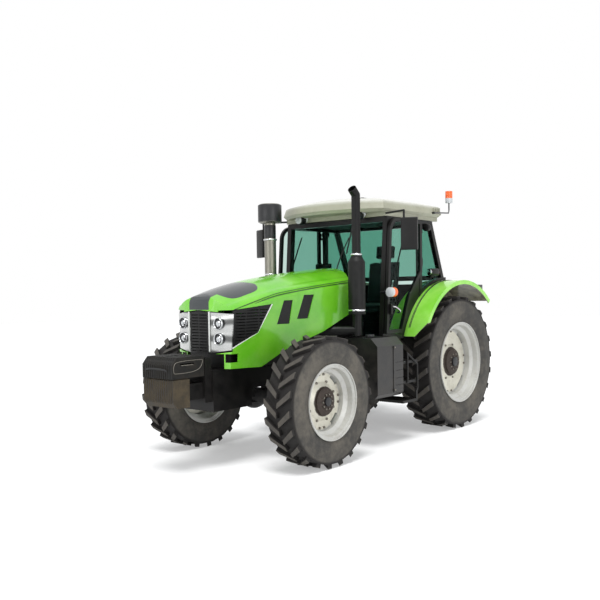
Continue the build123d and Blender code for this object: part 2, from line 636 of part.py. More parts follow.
def cab_tub():
    """Floor, firewall and lower rear wall."""
    front = A_FOOT_Y - 25
    rear = C_FOOT_Y + 25
    floor = block(-CAB_WAIST_X, CAB_WAIST_X, front, rear, CAB_FLOOR_Z, CAB_FLOOR_Z + CAB_FLOOR_T)
    sill = CAB_SILL_Z - PILLAR / 2
    ledge = block(CAB_WAIST_X - 12, CAB_SIDE_X - PILLAR, front, 500, sill, sill + 20)
    ledge += block(CAB_WAIST_X - 12, CAB_WAIST_X, front, 500, CAB_FLOOR_Z, sill + 20)
    firewall = block(-455, 455, front, front + 30, CAB_FLOOR_Z, 1930)
    rear_wall = block(-CAB_WAIST_X, CAB_WAIST_X, rear - 20, rear, CAB_FLOOR_Z, C_FOOT_Z - PILLAR / 2)
    return floor + firewall + rear_wall + both_sides(ledge) + hood_hinge_brackets()


def cab_frame():
    x = PILLAR_X
    top = CAB_TOP_Z - PILLAR / 2
    side = beam((x, A_FOOT_Y, CAB_SILL_Z - PILLAR / 2), (x, A_HEAD_Y, top), PILLAR, 80)
    side += beam((x, B_Y, polar(FENDER_R + FENDER_CLEAR, 120)[1] - 130), (x, B_Y, top), PILLAR, 50)
    side += beam((x, C_FOOT_Y, C_FOOT_Z), (x, C_HEAD_Y, top), PILLAR, PILLAR)
    side += block(x - PILLAR / 2, x + PILLAR / 2, A_HEAD_Y - 40, C_HEAD_Y + 30, top - 30, top + 30)
    side += block(x - PILLAR / 2, x + PILLAR / 2, A_FOOT_Y - 30, 520, CAB_SILL_Z - 30, CAB_SILL_Z + 30)
    edge = [polar(FENDER_R + gap, angle) for angle, gap in QUARTER_ARCH]
    quarter = [(edge[0][0], CAB_SILL_Z - 30), *edge, (B_Y + 25, edge[-1][1]), (B_Y + 25, 1500)]
    quarter += [(700, CAB_SILL_Z - 30)]
    side += prism_x(quarter, x - 10, x + PILLAR / 2 - 5)
    angle_c = 90.0
    side += arc_band(FENDER_R - 60, FENDER_R + 42, angle_c - 1, 126, x - PILLAR / 2, x + PILLAR / 2)
    side -= arc_band(10, FENDER_R + FENDER_CLEAR, 40, 179, 0, 1200)
    for z in DOOR_HINGE_ZS:
        low = (DOOR_HINGE_X, DOOR_HINGE_Y, z - 33)
        side += block(CAB_SIDE_X - 10, DOOR_HINGE_X, DOOR_HINGE_Y - 10, DOOR_HINGE_Y + 22, z - 33, z - 3)
        side += rod(low, (DOOR_HINGE_X, DOOR_HINGE_Y, z - 3), DOOR_HINGE_R)
        side += rod(low, (DOOR_HINGE_X, DOOR_HINGE_Y, z + 60), DOOR_PIN_R)
    header = block(-x, x, A_HEAD_Y - 40, A_HEAD_Y + 20, top - 30, top + 30)
    header += block(-x, x, C_HEAD_Y - 30, C_HEAD_Y + 30, top - 30, top + 30)
    waist = block(-x, x, C_FOOT_Y - 30, C_FOOT_Y + 30, C_FOOT_Z + 15, C_FOOT_Z + 75)
    return both_sides(side) + header + waist


def screen_plane(foot_y, foot_z, head_y, head_z):
    """A sloping plane across the cab: local x along X, local y up the slope."""
    rise = Vector(0, head_y - foot_y, head_z - foot_z)
    return Plane(origin=(0, foot_y, foot_z), x_dir=(1, 0, 0), z_dir=Vector(1, 0, 0).cross(rise))


def cab_windows():
    half = CAB_SIDE_X - PILLAR - 3
    head = CAB_TOP_Z - PILLAR - 3
    slope = (A_HEAD_Y - A_FOOT_Y) / (CAB_TOP_Z - PILLAR / 2 - CAB_SILL_Z)
    foot_z = CAB_SILL_Z + PILLAR / 2
    front = screen_plane(A_FOOT_Y + 20, foot_z, A_FOOT_Y + 20 + slope * 1000, foot_z + 1000)
    tall = (head - foot_z) * math.hypot(1, slope)
    notch_x = 458
    notch_y = 1933 - foot_z
    outline = [(-half, 0), (-notch_x, 0), (-notch_x, notch_y), (notch_x, notch_y), (notch_x, 0), (half, 0)]
    outline += [(half, tall), (-half, tall)]
    screen = extrude(front * make_face(Polyline(*outline, close=True)), GLASS)
    foot_z = C_FOOT_Z + 78
    ratio = (C_HEAD_Y - C_FOOT_Y) / (CAB_TOP_Z - PILLAR / 2 - C_FOOT_Z)
    rear_y = C_FOOT_Y + ratio * (foot_z - C_FOOT_Z)
    back = screen_plane(rear_y, foot_z, rear_y + ratio * 1000, foot_z + 1000)
    rear_tall = (head - foot_z) * math.hypot(1, ratio)
    rear = extrude(back * make_face(Polyline((-half, 0), (half, 0), (half, rear_tall),
                                             (-half, rear_tall), close=True)), GLASS)
    y0 = B_Y + 28
    edge = [(C_FOOT_Y + ratio * (z - C_FOOT_Z) - PILLAR / 2 - 6, z) for z in (head, C_FOOT_Z)]
    side = [(y0, head), *edge, (y0, C_FOOT_Z - 120)]
    pane = prism_x(side, PILLAR_X, PILLAR_X + GLASS)
    pane -= arc_band(10, FENDER_R + 45, 40, 179, 0, 1200)
    return screen + rear + both_sides(pane)


def roof_outline(inset, z):
    """The roof in plan: bowed at both ends and wider at the rear."""
    front = ROOF_FRONT_HALF_W - inset
    rear = ROOF_HALF_W - inset
    y0 = ROOF_FRONT_Y + inset
    y1 = ROOF_REAR_Y - inset
    edges = Curve() + [
        ThreePointArc((-front, y0), (0, y0 - 260), (front, y0)),
        Line((front, y0), (rear, y1)),
        ThreePointArc((rear, y1), (0, y1 + ROOF_BOW), (-rear, y1)),
        Line((-rear, y1), (-front, y0)),
    ]
    return Plane.XY.offset(z) * make_face(edges)


ROOF_LAMPS = [
    # back point, face point, radius
    ((445, 165, 2698), (445, 95, 2692), 52),
    ((560, C_HEAD_Y + 205, 2690), (560, C_HEAD_Y + 265, 2684), 48),
]


def cab_roof():
    lower = loft([roof_outline(30, ROOF_WIDE_Z - 35), roof_outline(0, ROOF_WIDE_Z)])
    upper = loft([roof_outline(0, ROOF_WIDE_Z), roof_outline(24, ROOF_SIDE_Z)], ruled=True)
    upper += loft([roof_outline(24, ROOF_SIDE_Z), roof_outline(220, ROOF_Z1)], ruled=True)
    liner = block(-CAB_SIDE_X, CAB_SIDE_X, A_HEAD_Y - 60, C_HEAD_Y + 150, ROOF_Z0, ROOF_WIDE_Z - 30)
    hatch = extrude(Plane.XY.offset(ROOF_Z1 - 5) * (Pos(0, 620) * RectangleRounded(640, 560, 70)), 20)
    roof = lower + upper + liner + hatch
    for i in range(ROOF_RIBS):
        y = ROOF_REAR_Y - 40 - i * ROOF_RIB_PITCH
        rib = block(ROOF_HALF_W - 50, ROOF_HALF_W + 2, y - 9, y + 9, ROOF_WIDE_Z + 12, ROOF_SIDE_Z - 12)
        roof += both_sides(rib)
    for start, end, radius in ROOF_LAMPS:
        pocket = rod(start, (end[0], end[1] + (end[1] - start[1]), end[2]), radius + 6)
        roof -= both_sides(pocket)
    return roof


def door_face():
    """The door's outline: its lower rear edge follows the fender, its top front corner is round."""
    points = DOOR_FRONT + [polar(FENDER_R + gap, angle) for angle, gap in DOOR_ARCH]
    face = make_face(Polyline(*points, close=True))
    corner = face.vertices().sort_by_distance((*DOOR_FRONT[1], 0))[0]
    return fillet(corner, DOOR_CORNER_R)


def door_frame():
    """The left door: a frame round its glass, with hinge barrels at its rear edge."""
    outline = door_face()
    ring = outline - offset(outline, -DOOR_FRAME_W)
    frame = extrude(Plane.YZ.offset(DOOR_X) * ring, DOOR_T)
    for z in DOOR_HINGE_ZS:
        foot = (DOOR_HINGE_X, DOOR_HINGE_Y, z)
        head = (DOOR_HINGE_X, DOOR_HINGE_Y, z + 60)
        frame += block(DOOR_HINGE_X - 8, DOOR_HINGE_X + 8, 890, DOOR_HINGE_Y, z, z + 60)
        frame += rod(foot, head, DOOR_HINGE_R)
        frame -= rod(foot, head, DOOR_PIN_R + 0.1)
    handle = block(DOOR_X + DOOR_T, DOOR_X + DOOR_T + 30, 165, 200, 1500, 1620)
    return frame + handle


def door_glass():
    pane = offset(door_face(), -DOOR_FRAME_W - 0.5)
    middle = DOOR_X + (DOOR_T - GLASS) / 2
    return extrude(Plane.YZ.offset(middle) * pane, GLASS)


def ajar(shape):
    """The right door, mirrored from the left one and turned open about its hinge."""
    hinge = Axis((-DOOR_HINGE_X, DOOR_HINGE_Y, 0), (0, 0, -1))
    return mirrored(shape).rotate(hinge, DOOR_AJAR)


def fender():
    """The left fender: an arch over the wheel with a wall on the cab side."""
    inner = FENDER_R - FENDER_WALL
    arch = arc_band(inner, FENDER_R, FENDER_REAR_ANGLE, FENDER_FRONT_ANGLE, FENDER_X0, FENDER_X1)
    lip = arc_band(inner - 40, inner, FENDER_REAR_ANGLE, FENDER_FRONT_ANGLE - 10,
                   FENDER_X1 - FENDER_WALL, FENDER_X1)
    arch += lip
    arch -= prism_y([(900, 1210), (1080, 1210), (1080, 1400), (1045, 1385)], 400, 900)
    disc = arc_band(20, inner, FENDER_REAR_ANGLE - 30, FENDER_FRONT_ANGLE + 10, FENDER_X0,
                    FENDER_X0 + FENDER_WALL)
    keep = [(520, CAB_FLOOR_Z), (1760, CAB_FLOOR_Z), (2240, 1610), (2240, 1700), (1530, 2000), (520, 2000)]
    return arch + (disc & prism_x(keep, FENDER_X0, FENDER_X0 + FENDER_WALL))


def dashboard_console():
    side = [(A_FOOT_Y + 60, CAB_FLOOR_Z + CAB_FLOOR_T), (430, CAB_FLOOR_Z + CAB_FLOOR_T), (470, 1560)]
    side += [(430, 1730), (250, 1790), (220, 1700)]
    body = prism_x(side, -210, 210)
    column = rod((0, 440, 1640), (0, 440 + 60, 1640 + 104), 35)
    return body + column


WHEEL_HUB = Vector(0, 505, 1752)
WHEEL_TILT = 30.0
STEERING_R = 195.0


def steering_wheel():
    plane = Plane(origin=WHEEL_HUB, x_dir=(1, 0, 0),
                  z_dir=(0, math.sin(math.radians(WHEEL_TILT)), math.cos(math.radians(WHEEL_TILT))))
    ring = Pos(0, 0, 20) * Torus(STEERING_R, 15)
    hub = Pos(0, 0, 20) * Cylinder(38, 30)
    for turn in (90, 210, 330):
        hub += Rot(0, 0, turn) * (Pos(STEERING_R / 2 + 10, 0, 20) * Box(STEERING_R - 20, 24, 10))
    return plane * (ring + hub)


def driver_seat():
    base = block(-180, 180, 860, 1200, CAB_FLOOR_Z + CAB_FLOOR_T, 1490)
    cushion = block(-250, 250, 790, 1240, 1490, 1610)
    back = prism_x([(1170, 1610), (1260, 1610), (1330, 2180), (1250, 2180)], -235, 235)
    return base + cushion + back


# ---- what hangs on the outside -----------------------------------------------------
def fuel_tank():
    section = [(TANK_X0, TANK_Z0), (TANK_X1 - 40, TANK_Z0), (TANK_X1, TANK_Z0 + 40), (TANK_X1, TANK_Z1 - 90)]
    section += [(TANK_X1 - 90, TANK_Z1), (TANK_X0, TANK_Z1)]
    body = prism_y(section, TANK_Y0, TANK_Y1)
    body -= block(TANK_X0 - 1, DOOR_X - 2, A_FOOT_Y - 50, TANK_Y1 + 1, CAB_SILL_Z - PILLAR / 2 - 10,
                  TANK_Z1 + 1)
    for z in TANK_RIDGES:
        body -= block(TANK_X1 - TANK_RIDGE_DEPTH, TANK_X1 + 1, TANK_STRAP_Y + TANK_STRAP_W, TANK_Y1 + 1,
                      z - 5, z + 5)
    half = TANK_STRAP_W / 2
    strap = block(TANK_X1 - 1, TANK_X1 + 6, TANK_STRAP_Y - half, TANK_STRAP_Y + half, TANK_Z0 + 45,
                  TANK_Z1 - 95)
    hanger = block(GEARBOX_W / 2, TANK_X0, -200, 20, 700, 780)
    return body + strap + hanger


def battery_box():
    body = block(-TANK_X1 + 20, -TANK_X0, TANK_Y0, TANK_Y1, TANK_Z0 + 60, TANK_Z1 - 130)
    hanger = block(-TANK_X0, -GEARBOX_W / 2, -200, 20, 700, 780)
    return body + hanger


def steps():
    y0 = TANK_Y1 + 25
    y1 = 500
    treads = Part()
    for z in (470, 700, 930):
        treads += block(620, 980, y0, y1, z, z + 30)
    cheeks = block(620, 632, y0, y1, 470, CAB_FLOOR_Z)
    rail = tube([(985, 277, 715), (985, 277, 1046), (985, 484, 907), (985, 490, 620)], 13)
    tie = block(960, 990, 470, y1, 600, 640) + block(950, 990, 262, 292, 700, 730) + block(960, 980,
                                                                                           470, y1, 470, 640)
    beam_out = block(GEARBOX_W / 2, 625, 260, 400, 850, 900)
    return both_sides(treads + cheeks + rail + tie + beam_out)


def exhaust_stack():
    cone = [(0, MUFFLER_Z0), (MUFFLER_R, MUFFLER_Z0), (MUFFLER_R, MUFFLER_Z1 - 62),
            (TAILPIPE_R + 12, MUFFLER_Z1)]
    muffler = spin_z(cone + [(TAILPIPE_R + 12, MUFFLER_Z1 + 30), (0, MUFFLER_Z1 + 30)], STACK_X, STACK_Y)
    pipe = rod((STACK_X, STACK_Y, 1270), (STACK_X, STACK_Y, TAILPIPE_TOP), TAILPIPE_R)
    tip = (STACK_X, STACK_Y - 70, TAILPIPE_TOP + 65)
    bend = tube([(STACK_X, STACK_Y, TAILPIPE_TOP - 20), (STACK_X, STACK_Y, TAILPIPE_TOP), tip], TAILPIPE_R)
    bend -= rod((STACK_X, STACK_Y - 28, TAILPIPE_TOP + 26), (STACK_X, STACK_Y - 84, TAILPIPE_TOP + 78),
                TAILPIPE_R - 6)
    inlet = rod((ENGINE_W / 2 - 40, STACK_Y - 230, 1330), (STACK_X, STACK_Y, 1330), TAILPIPE_R)
    return muffler + pipe + bend + inlet - block(0, ENGINE_W / 2, -900, ENGINE_Y1, 1000, 1600)


def intake_stack():
    pipe = rod((-STACK_X, STACK_Y, 1270), (-STACK_X, STACK_Y, 2430), INTAKE_R)
    neck = rod((-STACK_X, STACK_Y, 2430), (-STACK_X, STACK_Y, 2635), INTAKE_R - 4)
    dome = [(0, BOWL_Z0), (BOWL_R - 27, BOWL_Z0), (BOWL_R, BOWL_Z0 + 16), (BOWL_R, BOWL_Z1 - 24)]
    bowl = spin_z(dome + [(BOWL_R - 22, BOWL_Z1 - 4), (0, BOWL_Z1)], -STACK_X, STACK_Y)
    bowl += rod((-STACK_X, STACK_Y, 2415), (-STACK_X, STACK_Y, 2440), INTAKE_R + 6)
    inlet = rod((-ENGINE_W / 2 + 40, STACK_Y - 230, 1340), (-STACK_X, STACK_Y, 1340), 60)
    return pipe + neck + bowl + inlet - block(-ENGINE_W / 2, 0, -900, ENGINE_Y1, 1000, 1600)


def mirrors():
    head = block(MIRROR_X - 92, MIRROR_X + 92, MIRROR_Y - 25, MIRROR_Y + 25, 2235, 2595)
    head = head.rotate(Axis((MIRROR_X, MIRROR_Y, 0), (0, 0, 1)), MIRROR_TURN)
    root = (CAB_SIDE_X - 20, A_HEAD_Y - 45, ROOF_Z0 + 30)
    elbow = (MIRROR_X - 58, MIRROR_Y - 23, ROOF_Z0 + 30)
    arm = tube([root, elbow, (elbow[0], elbow[1], 2580)], 12) - cab_roof()
    return both_sides(head + arm)


def work_lamps():
    lamps = Part()
    for start, end, radius in ROOF_LAMPS:
        lamps += both_sides(rod(start, end, radius))
    return lamps


def signal_lamps():
    foot = (ROOF_HALF_W + 16, ROOF_REAR_Y - 200, ROOF_WIDE_Z + 10)
    stalk = rod((ROOF_HALF_W - 12, foot[1], foot[2]), (ROOF_HALF_W + 26, foot[1], foot[2]), 14) - cab_roof()
    bend = (BEACON_X, BEACON_Y, foot[2] + 65)
    stalk += tube([foot, (foot[0], BEACON_Y - 90, foot[2] + 20), bend,
                   (BEACON_X, BEACON_Y, BEACON_Z0 + 5)], 9)
    beacon = rod((BEACON_X, BEACON_Y, BEACON_Z0), (BEACON_X, BEACON_Y, BEACON_Z1), BEACON_R)
    lean = (A_HEAD_Y - A_FOOT_Y) / (CAB_TOP_Z - CAB_SILL_Z)
    root = (PILLAR_X, A_FOOT_Y + lean * (MARKER_Z - CAB_SILL_Z), MARKER_Z)
    marker = tube([root, (CAB_SIDE_X + 10, 58, MARKER_Z), (MARKER_X - 20, MARKER_Y - 22, MARKER_Z)], 11)
    marker += rod((MARKER_X, MARKER_Y - 45, MARKER_Z), (MARKER_X, MARKER_Y + 43, MARKER_Z), MARKER_R)
    marker -= cab_frame()
    y, z = polar(FENDER_R - 12, 62.5)
    tail = block(880, 1030, y - 50, y + 50, z - 70, z + 70) - arc_band(10, FENDER_R, 40, 179, 0, 1200)
    return stalk + beacon + both_sides(tail) + both_sides(marker)


# ---- rear linkage --------------------------------------------------------------------
LINK_EYE_Z = 590.0
LINK_SLOPE = (LINK_EYE_Z - LINK_PIVOT_Z) / (LINK_EYE_Y - LINK_PIVOT_Y)
LINK_ROD_Z = LINK_PIVOT_Z + LINK_SLOPE * (LINK_ROD_Y - LINK_PIVOT_Y)
ARM_RISE = LIFT_SHAFT_Z - LINK_PIVOT_Z


def bar_between(start, end, half_t, x, height):
    """A flat bar between two (y, z) points in a plane across the tractor."""
    return beam((x, start[0], start[1]), (x, end[0], end[1]), 2 * half_t, height)


def lower_links():
    x = LINK_X
    pivot = (LINK_PIVOT_Y, LINK_PIVOT_Z)
    eye = (LINK_EYE_Y, LINK_EYE_Z)
    link = bar_between(pivot, eye, LINK_T / 2, x, 60)
    link += rod((x - LINK_T / 2, *pivot), (x + LINK_T / 2, *pivot), 45)
    link += rod((x - LINK_EYE_W / 2, *eye), (x + LINK_EYE_W / 2, *eye), LINK_EYE_R)
    link -= rod((x - 50, *pivot), (x + 50, *pivot), LIFT_PIN_R + 4.5)
    link -= rod((x - 50, *eye), (x + 50, *eye), LINK_BORE_R)
    link -= rod((x - 50, LINK_ROD_Y, LINK_ROD_Z), (x + 50, LINK_ROD_Y, LINK_ROD_Z), LIFT_PIN_R + 0.1)
    return both_sides(link)


def lift_rods():
    low = (LINK_ROD_Y, LINK_ROD_Z)
    high = (LINK_ROD_Y, LINK_ROD_Z + ARM_RISE)
    half = LINK_T / 2
    bar = bar_between((low[0], low[1] + 30), (high[0], high[1] - 30), half, LIFT_ROD_X, 32)
    bar += rod((LIFT_ROD_X, low[0], low[1] + 150), (LIFT_ROD_X, high[0], high[1] - 150), 27)
    bar += rod((LIFT_ROD_X - half, *low), (LIFT_ROD_X + half, *low), 34)
    bar += rod((LIFT_ROD_X - half, *high), (LIFT_ROD_X + half, *high), 34)
    bar -= rod((LIFT_ROD_X - 50, *high), (LIFT_ROD_X + 50, *high), LIFT_PIN_R + 2)
    bar += rod((LIFT_ROD_X, *low), (LINK_X + half + 6, *low), LIFT_PIN_R)
    return both_sides(bar)


def lift_arms():
    root = (LINK_PIVOT_Y, LIFT_SHAFT_Z)
    tip = (LINK_ROD_Y, LINK_ROD_Z + ARM_RISE)
    half = LINK_T / 2
    arm = bar_between(root, tip, half, LINK_X, 62)
    arm += rod((LINK_X - half, *root), (LINK_X + half, *root), 60)
    arm += rod((LINK_X - half, *tip), (LINK_X + half, *tip), 36)
    arm += rod((LIFT_ROD_X - half - 6, *tip), (LINK_X, *tip), LIFT_PIN_R)
    arm += rod((GEARBOX_W / 2 - 60 + 4, *root), (LINK_X, *root), 36)
    return both_sides(arm)


def drawbar():
    bar = block(-45, 45, REAR_AXLE_Y - 130, DRAWBAR_PIN_Y + 50, DRAWBAR_Z, DRAWBAR_Z + DRAWBAR_T)
    bar -= rod((0, DRAWBAR_PIN_Y, DRAWBAR_Z - 1), (0, DRAWBAR_PIN_Y, DRAWBAR_Z + DRAWBAR_T + 1),
               DRAWBAR_PIN_R)
    hanger = block(-110, 110, GEARBOX_Y1 - 90, GEARBOX_Y1, DRAWBAR_Z - 20, GEARBOX_Z0)
    hanger -= block(-45, 45, GEARBOX_Y1 - 91, GEARBOX_Y1 + 1, DRAWBAR_Z, DRAWBAR_Z + DRAWBAR_T)
    return bar + hanger


def top_link_bracket():
    """Two ears and a pin behind the gearbox for the front end of the top link."""
    rear = GEARBOX_Y1 + 20
    plate = block(-60, 60, GEARBOX_Y1 - 1, rear, TOP_LINK_Z - 70, TOP_LINK_Z + 70)
    x0 = TOP_LINK_HALF_W + 1
    ear = block(x0, x0 + 24, rear - 1, TOP_LINK_Y + 30, TOP_LINK_Z - 35, TOP_LINK_Z + 35)
    pin = rod((-x0 - 24, TOP_LINK_Y, TOP_LINK_Z), (x0 + 24, TOP_LINK_Y, TOP_LINK_Z), LIFT_PIN_R)
    return plate + both_sides(ear) + pin


def top_link():
    """A turnbuckle between two eyes; the front one hangs on the bracket's pin."""
    foot = Vector(0, TOP_LINK_Y, TOP_LINK_Z)
    eye = Vector(0, TOP_LINK_EYE_Y, TOP_LINK_EYE_Z)
    along = eye - foot
    link = rod(foot + along * 0.03, foot + along * 0.97, 17)
    link += rod(foot + along * 0.28, foot + along * 0.72, 28)
    half = Vector(TOP_LINK_HALF_W, 0, 0)
    for centre, bore in ((foot, LIFT_PIN_R + 0.1), (eye, TOP_LINK_BORE_R)):
        link += rod(centre - half, centre + half, 38)
        link -= rod(centre - half * 2, centre + half * 2, bore)
    return link


def pto_shaft():
    shaft = rod((0, GEARBOX_Y1 + HUB_GAP, PTO_Z), (0, PTO_Y1, PTO_Z), PTO_R)
    return shaft + rod((0, GEARBOX_Y1 + HUB_GAP, PTO_Z), (0, PTO_Y0 - 20, PTO_Z), 34)


# ---- the whole tractor -----------------------------------------------------------------
def nodes():
    front_tyre = tyre(FRONT_TYRE_R, FRONT_TYRE_W, FRONT_BEAD_R, FRONT_RIM_W, FRONT_LUGS, FRONT_LUG)
    front_hub_x0 = KNUCKLE_FACE_X + HUB_GAP - FRONT_WHEEL_X
    front_rim = rim(FRONT_RIM_W, FRONT_BEAD_R, FRONT_DISC_X, FRONT_HUB_R, front_hub_x0, 90)
    rear_tyre = tyre(REAR_TYRE_R, REAR_TYRE_W, REAR_BEAD_R, REAR_RIM_W, REAR_LUGS, REAR_LUG)
    rear_hub_x0 = -110 + HUB_GAP
    rear_rim = rim(REAR_RIM_W, REAR_BEAD_R, REAR_DISC_X, REAR_HUB_R, rear_hub_x0, 100)
    parts = {}
    for label, side in (("left", 1), ("right", -1)):
        parts[f"tyre_front_{label}"] = wheel(front_tyre, FRONT_WHEEL_X, FRONT_AXLE_Y, FRONT_Z, side)
        parts[f"rim_front_{label}"] = wheel(front_rim, FRONT_WHEEL_X, FRONT_AXLE_Y, FRONT_Z, side)
        parts[f"tyre_rear_{label}"] = wheel(rear_tyre, REAR_WHEEL_X, REAR_AXLE_Y, REAR_Z, side)
        parts[f"rim_rear_{label}"] = wheel(rear_rim, REAR_WHEEL_X, REAR_AXLE_Y, REAR_Z, side)
        parts[f"knuckle_{label}"] = knuckle() if side > 0 else mirrored(knuckle())
        parts[f"fender_{label}"] = fender() if side > 0 else mirrored(fender())
    parts["front_axle_beam"] = front_axle_beam()
    parts["steering_rod"] = steering_rod()
    parts["front_frame"] = front_frame()
    parts["front_weights"] = front_weights()
    parts["engine_block"] = engine_block()
    parts["radiator"] = radiator()
    parts["transmission_housing"] = transmission_housing()
    parts["hood_shell"] = hood_shell()
    parts["hood_side_grilles"] = hood_side_grilles()
    parts["front_grille"] = front_grille()
    parts["headlamps"] = headlamps()
    parts["cab_tub"] = cab_tub()
    parts["cab_frame"] = cab_frame()
    parts["cab_windows"] = cab_windows()
    parts["cab_roof"] = cab_roof()
    parts["door_frame_left"] = door_frame()
    parts["door_glass_left"] = door_glass()
    parts["door_frame_right"] = ajar(door_frame())
    parts["door_glass_right"] = ajar(door_glass())
    parts["dashboard_console"] = dashboard_console()
    parts["steering_wheel"] = steering_wheel()
    parts["driver_seat"] = driver_seat()
    parts["fuel_tank"] = fuel_tank()
    parts["battery_box"] = battery_box()
    parts["access_steps"] = steps()
    parts["exhaust_stack"] = exhaust_stack()
    parts["intake_stack"] = intake_stack()
    parts["mirrors"] = mirrors()
    parts["work_lamps"] = work_lamps()
    parts["signal_lamps"] = signal_lamps()
    parts["lower_links"] = lower_links()
    parts["lift_rods"] = lift_rods()
    parts["lift_arms"] = lift_arms()
    parts["drawbar"] = drawbar()
    parts["top_link"] = top_link()
    parts["pto_shaft"] = pto_shaft()
    return parts


os.makedirs("parts", exist_ok=True)
for name, shape in nodes().items():
    export_step(shape, f"parts/{name}.step")
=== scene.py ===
import json
import math

import bpy
from mathutils import Matrix, Vector


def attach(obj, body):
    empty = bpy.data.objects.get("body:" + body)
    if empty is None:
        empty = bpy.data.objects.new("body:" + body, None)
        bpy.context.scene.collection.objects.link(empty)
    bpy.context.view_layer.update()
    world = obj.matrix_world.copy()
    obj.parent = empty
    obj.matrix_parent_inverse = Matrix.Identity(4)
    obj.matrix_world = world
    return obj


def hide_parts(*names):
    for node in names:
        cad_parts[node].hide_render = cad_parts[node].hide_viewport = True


# A farm tractor with a cab: the finish of every surface and the small pieces on it.
# Metres throughout; the tractor drives towards -Y and its left-hand side is +X.

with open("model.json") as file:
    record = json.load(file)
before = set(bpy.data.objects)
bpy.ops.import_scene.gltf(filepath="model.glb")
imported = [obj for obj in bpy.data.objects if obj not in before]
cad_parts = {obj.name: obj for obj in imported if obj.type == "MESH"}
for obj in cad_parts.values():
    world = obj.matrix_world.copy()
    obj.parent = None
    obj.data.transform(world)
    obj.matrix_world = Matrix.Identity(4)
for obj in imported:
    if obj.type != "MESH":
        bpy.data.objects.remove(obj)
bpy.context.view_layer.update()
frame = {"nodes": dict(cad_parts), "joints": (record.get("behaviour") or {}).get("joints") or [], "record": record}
NODES = frame["nodes"]

# ---- where things are, read from the frame ----------------------------------
JOINT = {joint["name"]: joint for joint in frame["joints"]}
FRONT_WHEEL = Vector(JOINT["wheel_front_left_spin"]["pos_m"])
REAR_WHEEL = Vector(JOINT["wheel_rear_left_spin"]["pos_m"])


# ---- shader maths -----------------------------------------------------------
class Wire:
    """One value in a material, so that shader maths reads as plain Python."""

    def __init__(self, finish, socket):
        self.finish = finish
        self.socket = socket

    def maths(self, operation, *values):
        return self.finish.node("ShaderNodeMath", {"operation": operation}, list(values))

    def __add__(self, other):
        return self.maths("ADD", self, other)

    def __sub__(self, other):
        return self.maths("SUBTRACT", self, other)

    def __mul__(self, other):
        return self.maths("MULTIPLY", self, other)

    def __truediv__(self, other):
        return self.maths("DIVIDE", self, other)

    def __pow__(self, other):
        return self.maths("POWER", self, other)

    def __rsub__(self, other):
        return self.maths("SUBTRACT", other, self)

    __radd__ = __add__
    __rmul__ = __mul__

    def sine(self):
        return self.maths("SINE", self)

    def size(self):
        return self.maths("ABSOLUTE", self)

    def larger(self, other):
        return self.maths("MAXIMUM", self, other)

    def step(self, low, high):
        """0 below low, 1 above high, smooth between; the other way round if low is above high."""
        settings = {"interpolation_type": "SMOOTHSTEP", "clamp": True}
        start, end, turned = (low, high, False) if low < high else (high, low, True)
        values = [self, start, end, 1.0 if turned else 0.0, 0.0 if turned else 1.0]
        return self.finish.node("ShaderNodeMapRange", settings, values)

    def axis(self, index):
        split = self.finish.node("ShaderNodeSeparateXYZ", {}, [self])
        return Wire(self.finish, split.socket.node.outputs[index])


class Finish:
    """A material and the few kinds of node that it is made of."""

    def __init__(self, name):
        self.material = bpy.data.materials.new(name)
        self.material.use_nodes = True
        self.tree = self.material.node_tree
        self.tree.nodes.clear()
        self.output = self.tree.nodes.new("ShaderNodeOutputMaterial")
        self.place = Wire(self, self.tree.nodes.new("ShaderNodeTexCoord").outputs["Object"])

    def node(self, kind, settings, values):
        """A node with its settings, then the values or wires of its sockets, by order or by name."""
        made = self.tree.nodes.new(kind)
        for key, value in settings.items():
            setattr(made, key, value)
        pairs = values.items() if isinstance(values, dict) else enumerate(values)
        for key, value in pairs:
            if isinstance(value, Wire):
                self.tree.links.new(value.socket, made.inputs[key])
            elif value is not None:
                made.inputs[key].default_value = value
        return Wire(self, made.outputs[0])

    def noise(self, scale, detail=3.0, rough=0.55, place=None):
        values = {"Vector": place or self.place, "Scale": scale, "Detail": detail, "Roughness": rough}
        return self.node("ShaderNodeTexNoise", {}, values)

    def cells(self, scale):
        return self.node("ShaderNodeTexVoronoi", {"feature": "F1"}, {"Vector": self.place, "Scale": scale})

    def blend(self, amount, first, second):
        """Two colours mixed by an amount."""
        mixer = self.tree.nodes.new("ShaderNodeMix")
        mixer.data_type = "RGBA"
        for index, value in ((0, amount), (6, first), (7, second)):
            if isinstance(value, Wire):
                self.tree.links.new(value.socket, mixer.inputs[index])
            elif index == 0:
                mixer.inputs[index].default_value = value
            else:
                mixer.inputs[index].default_value = (*value, 1.0)
        return Wire(self, mixer.outputs[2])

    def bump(self, height, distance, strength):
        return self.node("ShaderNodeBump", {},
                         {"Height": height, "Distance": distance, "Strength": strength})

    def surface(self, **sockets):
        """The Principled shader, with its sockets by name."""
        shader = self.tree.nodes.new("ShaderNodeBsdfPrincipled")
        for name, value in sockets.items():
            socket = shader.inputs[name.replace("_", " ")]
            if isinstance(value, Wire):
                self.tree.links.new(value.socket, socket)
            elif isinstance(value, tuple) and len(value) == 3 and socket.type == "RGBA":
                socket.default_value = (*value, 1.0)
            else:
                socket.default_value = value
        self.tree.links.new(shader.outputs[0], self.output.inputs[0])
        return self.material


def tint(red, green, blue):
    """A colour given as it looks on a screen, 0 to 255, as the shader wants it."""
    return tuple(((c / 255 + 0.055) / 1.055) ** 2.4 if c > 10 else c / 255 / 12.92
                 for c in (red, green, blue))


def dust_mask(f, low, high, amount):
    """Road dust that gathers below a height, broken up by noise."""
    height = f.place.axis(2)
    patch = f.noise(7.0, 6.0, 0.65)
    fine = f.noise(60.0, 4.0, 0.6)
    return (height.step(high, low) * 0.7 + 0.3) * (patch * 0.75 + fine * 0.35).step(0.38, 0.78) * amount


